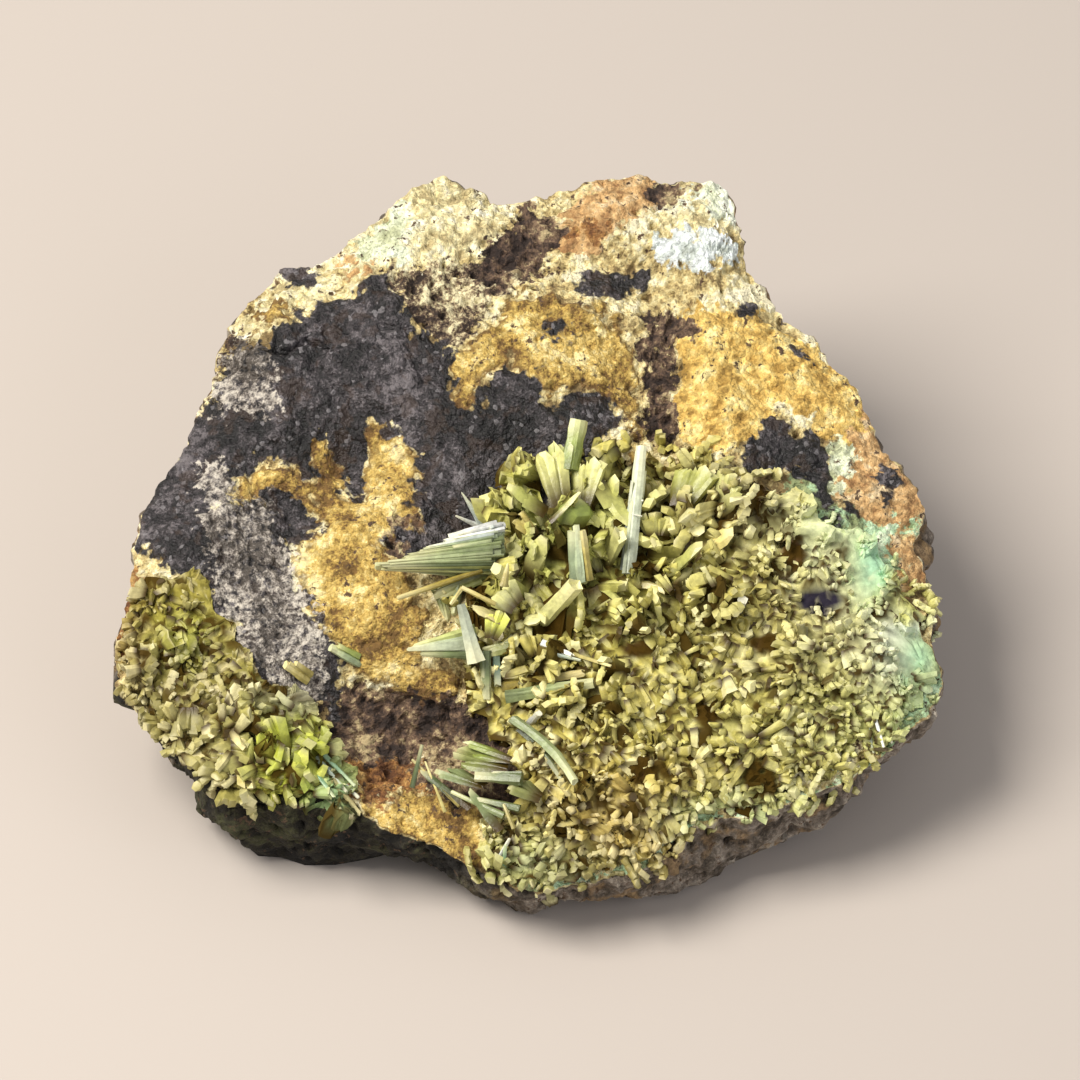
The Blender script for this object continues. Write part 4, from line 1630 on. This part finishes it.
# %% Large prisms of the main bed
BED_PRISMS = [
    # x and v of the root, x and v of the tip, lift, radius, taper, end, tint, bow
    (9.8, -3.4, 11.1, 9.4, 0.8, 0.80, 0.85, "flat", "pale green", 0.0),
    (9.1, -3.0, 10.2, 6.0, 0.9, 0.22, 0.80, "broken", "frosty", 0.0),
    (10.7, -1.0, 11.5, 7.0, 0.8, 0.20, 0.80, "broken", "pale green", 0.0),
    (9.9, 4.1, 11.3, 3.9, 1.2, 0.14, 1.00, "flat", "white", 0.0),
    (9.7, 2.6, 11.1, 2.4, 1.2, 0.12, 1.00, "flat", "white", 0.0),
    (6.0, -4.2, 9.4, -7.2, 0.4, 0.55, 0.80, "broken", "yellow green", 0.6),
    (8.6, -5.0, 13.6, -5.2, 0.4, 0.60, 0.80, "broken", "straw", 0.9),
    (7.4, -2.6, 8.6, 1.8, 0.2, 1.60, 0.90, "palm", "yellow green", 0.0),
    (7.0, 2.0, 9.0, 6.4, 0.2, 1.70, 0.90, "leaf", "yellow green", 0.0),
    (12.6, 2.0, 13.6, 6.6, 0.2, 1.90, 0.90, "palm", "straw", 0.0),
    (15.0, 3.2, 17.0, 7.6, 0.0, 1.90, 0.90, "palm", "yellow green", 0.0),
    (18.6, 2.8, 20.6, 6.6, -0.1, 1.80, 0.90, "palm", "yellow green", 0.0),
    (16.6, -1.6, 20.6, 0.8, 0.2, 1.80, 0.90, "leaf", "straw", 0.0),
    (13.0, -3.4, 17.6, -1.0, 0.4, 1.70, 0.90, "leaf", "yellow green", 0.0),
    (-1.2, -1.4, -3.4, 1.6, 0.2, 1.70, 0.90, "palm", "straw", 0.0),
    (-0.2, -3.8, 1.8, 0.6, 0.3, 1.60, 0.90, "leaf", "yellow green", 0.0),
    (-0.4, -5.6, -3.4, -2.8, 0.2, 1.05, 0.8, "flat", "yellow green", 0.3),
    (1.4, -8.0, 4.6, -4.4, 0.3, 1.20, 0.8, "hopper", "yellow green", 0.0),
    (-2.4, -15.6, 6.4, -14.2, (0.6, 1.0), 0.75, 0.9, "flat", "grey green", 0.0),
    (-2.8, -14.6, 5.6, -13.2, 0.3, 0.60, 0.8, "broken", "khaki", 0.0),
    (-1.7, -17.8, 4.6, -24.2, (1.1, 1.1), 0.66, 0.8, "broken", "grey green", 0.7),
    (-1.0, -18.8, 3.6, -24.6, (0.7, 0.8), 0.50, 0.6, "broken", "deep green", 0.4),
    (1.2, -10.3, 4.4, -11.6, 1.3, 0.58, 0.5, "broken", "white", 0.0),
    (1.6, -11.2, 5.2, -12.0, 1.0, 0.36, 0.6, "broken", "frosty", 0.0),
    (4.4, -11.4, 8.0, -12.5, 0.9, 0.32, 0.6, "point", "straw", 0.0),
    (0.0, -18.2, 0.9, -17.2, 0.8, 0.45, 0.9, "flat", "white", 0.0),
    (20.6, -7.0, 21.2, -5.9, 0.6, 0.75, 0.9, "flat", "white", 0.0),
    (34.2, -17.2, 35.2, -20.6, 0.4, 0.30, 0.6, "point", "white", 0.0),
    (35.0, -17.0, 36.0, -20.2, 0.4, 0.30, 0.6, "point", "frosty", 0.0),
    (33.6, -18.0, 34.2, -21.2, 0.3, 0.28, 0.6, "point", "frosty", 0.0),
    (-3.4, -32.2, -2.0, -29.6, 0.5, 0.40, 0.6, "point", "white", 0.0),
    (-2.6, -32.8, -2.4, -30.2, 0.4, 0.35, 0.6, "point", "mint", 0.0),
]
print("large prisms of the main bed:", len(BED_PRISMS))

# %% Large prisms of the left bed
LEFT_PRISMS = [
    # columns as above
    (-24.4, -22.0, -26.4, -17.8, 0.4, 1.60, 0.8, "palm", "lime", 0.0),
    (-23.0, -22.4, -22.4, -18.2, 0.5, 1.50, 0.9, "palm", "lime", 0.0),
    (-25.6, -24.2, -24.0, -20.8, 0.4, 1.40, 0.8, "leaf", "lime", 0.0),
    (-22.4, -24.8, -20.6, -21.6, 0.3, 1.20, 0.8, "fork", "lime", 0.0),
    (-23.6, -24.4, -22.0, -20.4, 0.6, 1.20, 0.8, "leaf", "lime", 0.0),
    (-21.2, -21.6, -18.2, -25.0, 0.4, 0.36, 0.6, "point", "frosty", 0.0),
    (-20.6, -21.2, -17.4, -24.4, 0.2, 0.32, 0.6, "point", "mint", 0.0),
    (-21.8, -22.4, -19.4, -25.6, 0.1, 0.36, 0.6, "broken", "mint", 0.0),
    (-20.2, -22.4, -17.0, -25.6, 0.3, 0.34, 0.6, "point", "frosty", 0.0),
    (-19.6, -23.8, -16.8, -27.4, 0.0, 0.40, 0.9, "broken", "straw", 0.0),
    (-33.8, -20.0, -32.4, -23.4, 0.3, 1.10, 0.8, "leaf", "straw", 0.0),
    (-30.6, -20.6, -31.6, -24.2, 0.3, 1.20, 0.8, "palm", "straw", 0.0),
    (-28.4, -21.4, -27.6, -24.8, 0.3, 1.20, 0.8, "palm", "straw", 0.0),
    (-29.6, -18.6, -27.6, -20.8, 0.3, 1.00, 0.8, "fork", "straw", 0.0),
]
print("large prisms of the left bed:", len(LEFT_PRISMS))

# %% Grow the large prisms


def grow_large(table, ground, packed, seed):
    """Mesh of a bed's large prisms, rooted in its crust and with tips on its packed surface."""
    rng = random.Random(seed)
    bm = bmesh.new()
    for x0, v0, x1, v1, lift, radius, taper, end, tint, bow in table:
        low_hit = seen_surface(ground, x0, v0)
        high_hit = seen_surface(packed + ground, x1, v1)
        if low_hit is None or high_hit is None:
            continue
        low, high = lift if isinstance(lift, tuple) else (-0.3 * radius, lift)
        root = on_face(x0, v0, out_of(low_hit[0]) + low)
        tip = on_face(x1, v1, out_of(high_hit[0]) + high)
        prism(bm, root, tip, radius, tint, rng, taper=taper, end=end, bow=bow)
    return finished(bm, "large_prisms")


main_large = grow_large(BED_PRISMS, [main_tree, rock_tree], [node_tree("main_crystal_bed")], 41)
left_large = grow_large(LEFT_PRISMS, [left_tree, rock_tree], [node_tree("left_crystal_bed")], 42)
add_piece(main_large, "main_bed_prisms", prism_material, ["main_crystal_bed"])
add_piece(left_large, "left_bed_prisms", prism_material, ["left_crystal_bed"])

# %% [markdown]
# ## Floor, light and camera
# The specimen lies on a plain pale floor under a large soft light from the upper left, with a weaker
# fill from the right, and the camera looks down at the angle that shows the face best.

# %% Floor
FLOOR_HALF = 1.5
floor_bm = bmesh.new()
bmesh.ops.create_grid(floor_bm, x_segments=1, y_segments=1, size=FLOOR_HALF)
floor_mesh = finished(floor_bm, "floor")
floor = bpy.data.objects.new("floor", floor_mesh)
bpy.context.scene.collection.objects.link(floor)
floor_material, tree, shader, place = new_material("pale_matt_paper")
shader.inputs["Base Color"].default_value = colour("#B6ADA5")
shader.inputs["Roughness"].default_value = 0.9
floor_mesh.materials.append(floor_material)
print("side of the floor, m:", 2.0 * FLOOR_HALF)

# %% Lights
AIM = Vector((0.0, 0.0, 0.015))


def soft_light(name, place, width, power, tint):
    """A square area light that looks at the specimen."""
    lamp = bpy.data.lights.new(name, "AREA")
    lamp.shape = "SQUARE"
    lamp.size = width
    lamp.energy = power
    lamp.color = colour(tint)[:3]
    holder = bpy.data.objects.new(name, lamp)
    holder.location = place
    holder.rotation_euler = (AIM - Vector(place)).to_track_quat("-Z", "Y").to_euler()
    bpy.context.scene.collection.objects.link(holder)


soft_light("window", (-0.35, -0.05, 0.55), 0.35, 6.4, "#FFFAF2")
soft_light("fill", (0.5, -0.45, 0.35), 0.6, 1.5, "#F4F6FF")
world = bpy.data.worlds.new("studio")
world.use_nodes = True
world.node_tree.nodes["Background"].inputs["Color"].default_value = colour("#F2F0EE")
world.node_tree.nodes["Background"].inputs["Strength"].default_value = 0.5
bpy.context.scene.world = world
bpy.context.scene.view_settings.view_transform = "Standard"
print("lights:", len(bpy.data.lights))

# %% Camera
CAMERA_AWAY = 1.8
FRAME_WIDTH = 108.0 * MM
SENSOR = 36.0
LOOKS_AT = FACE_MIDDLE * MM + ACROSS * 1.0 * MM
lens = bpy.data.cameras.new("camera")
lens.sensor_width = SENSOR
lens.lens = SENSOR * CAMERA_AWAY / FRAME_WIDTH
camera = bpy.data.objects.new("camera", lens)
camera.location = LOOKS_AT + TO_VIEWER * CAMERA_AWAY
camera.rotation_euler = (-TO_VIEWER).to_track_quat("-Z", "Y").to_euler()
bpy.context.scene.collection.objects.link(camera)
bpy.context.scene.camera = camera
print("lens, mm:", round(lens.lens, 1))
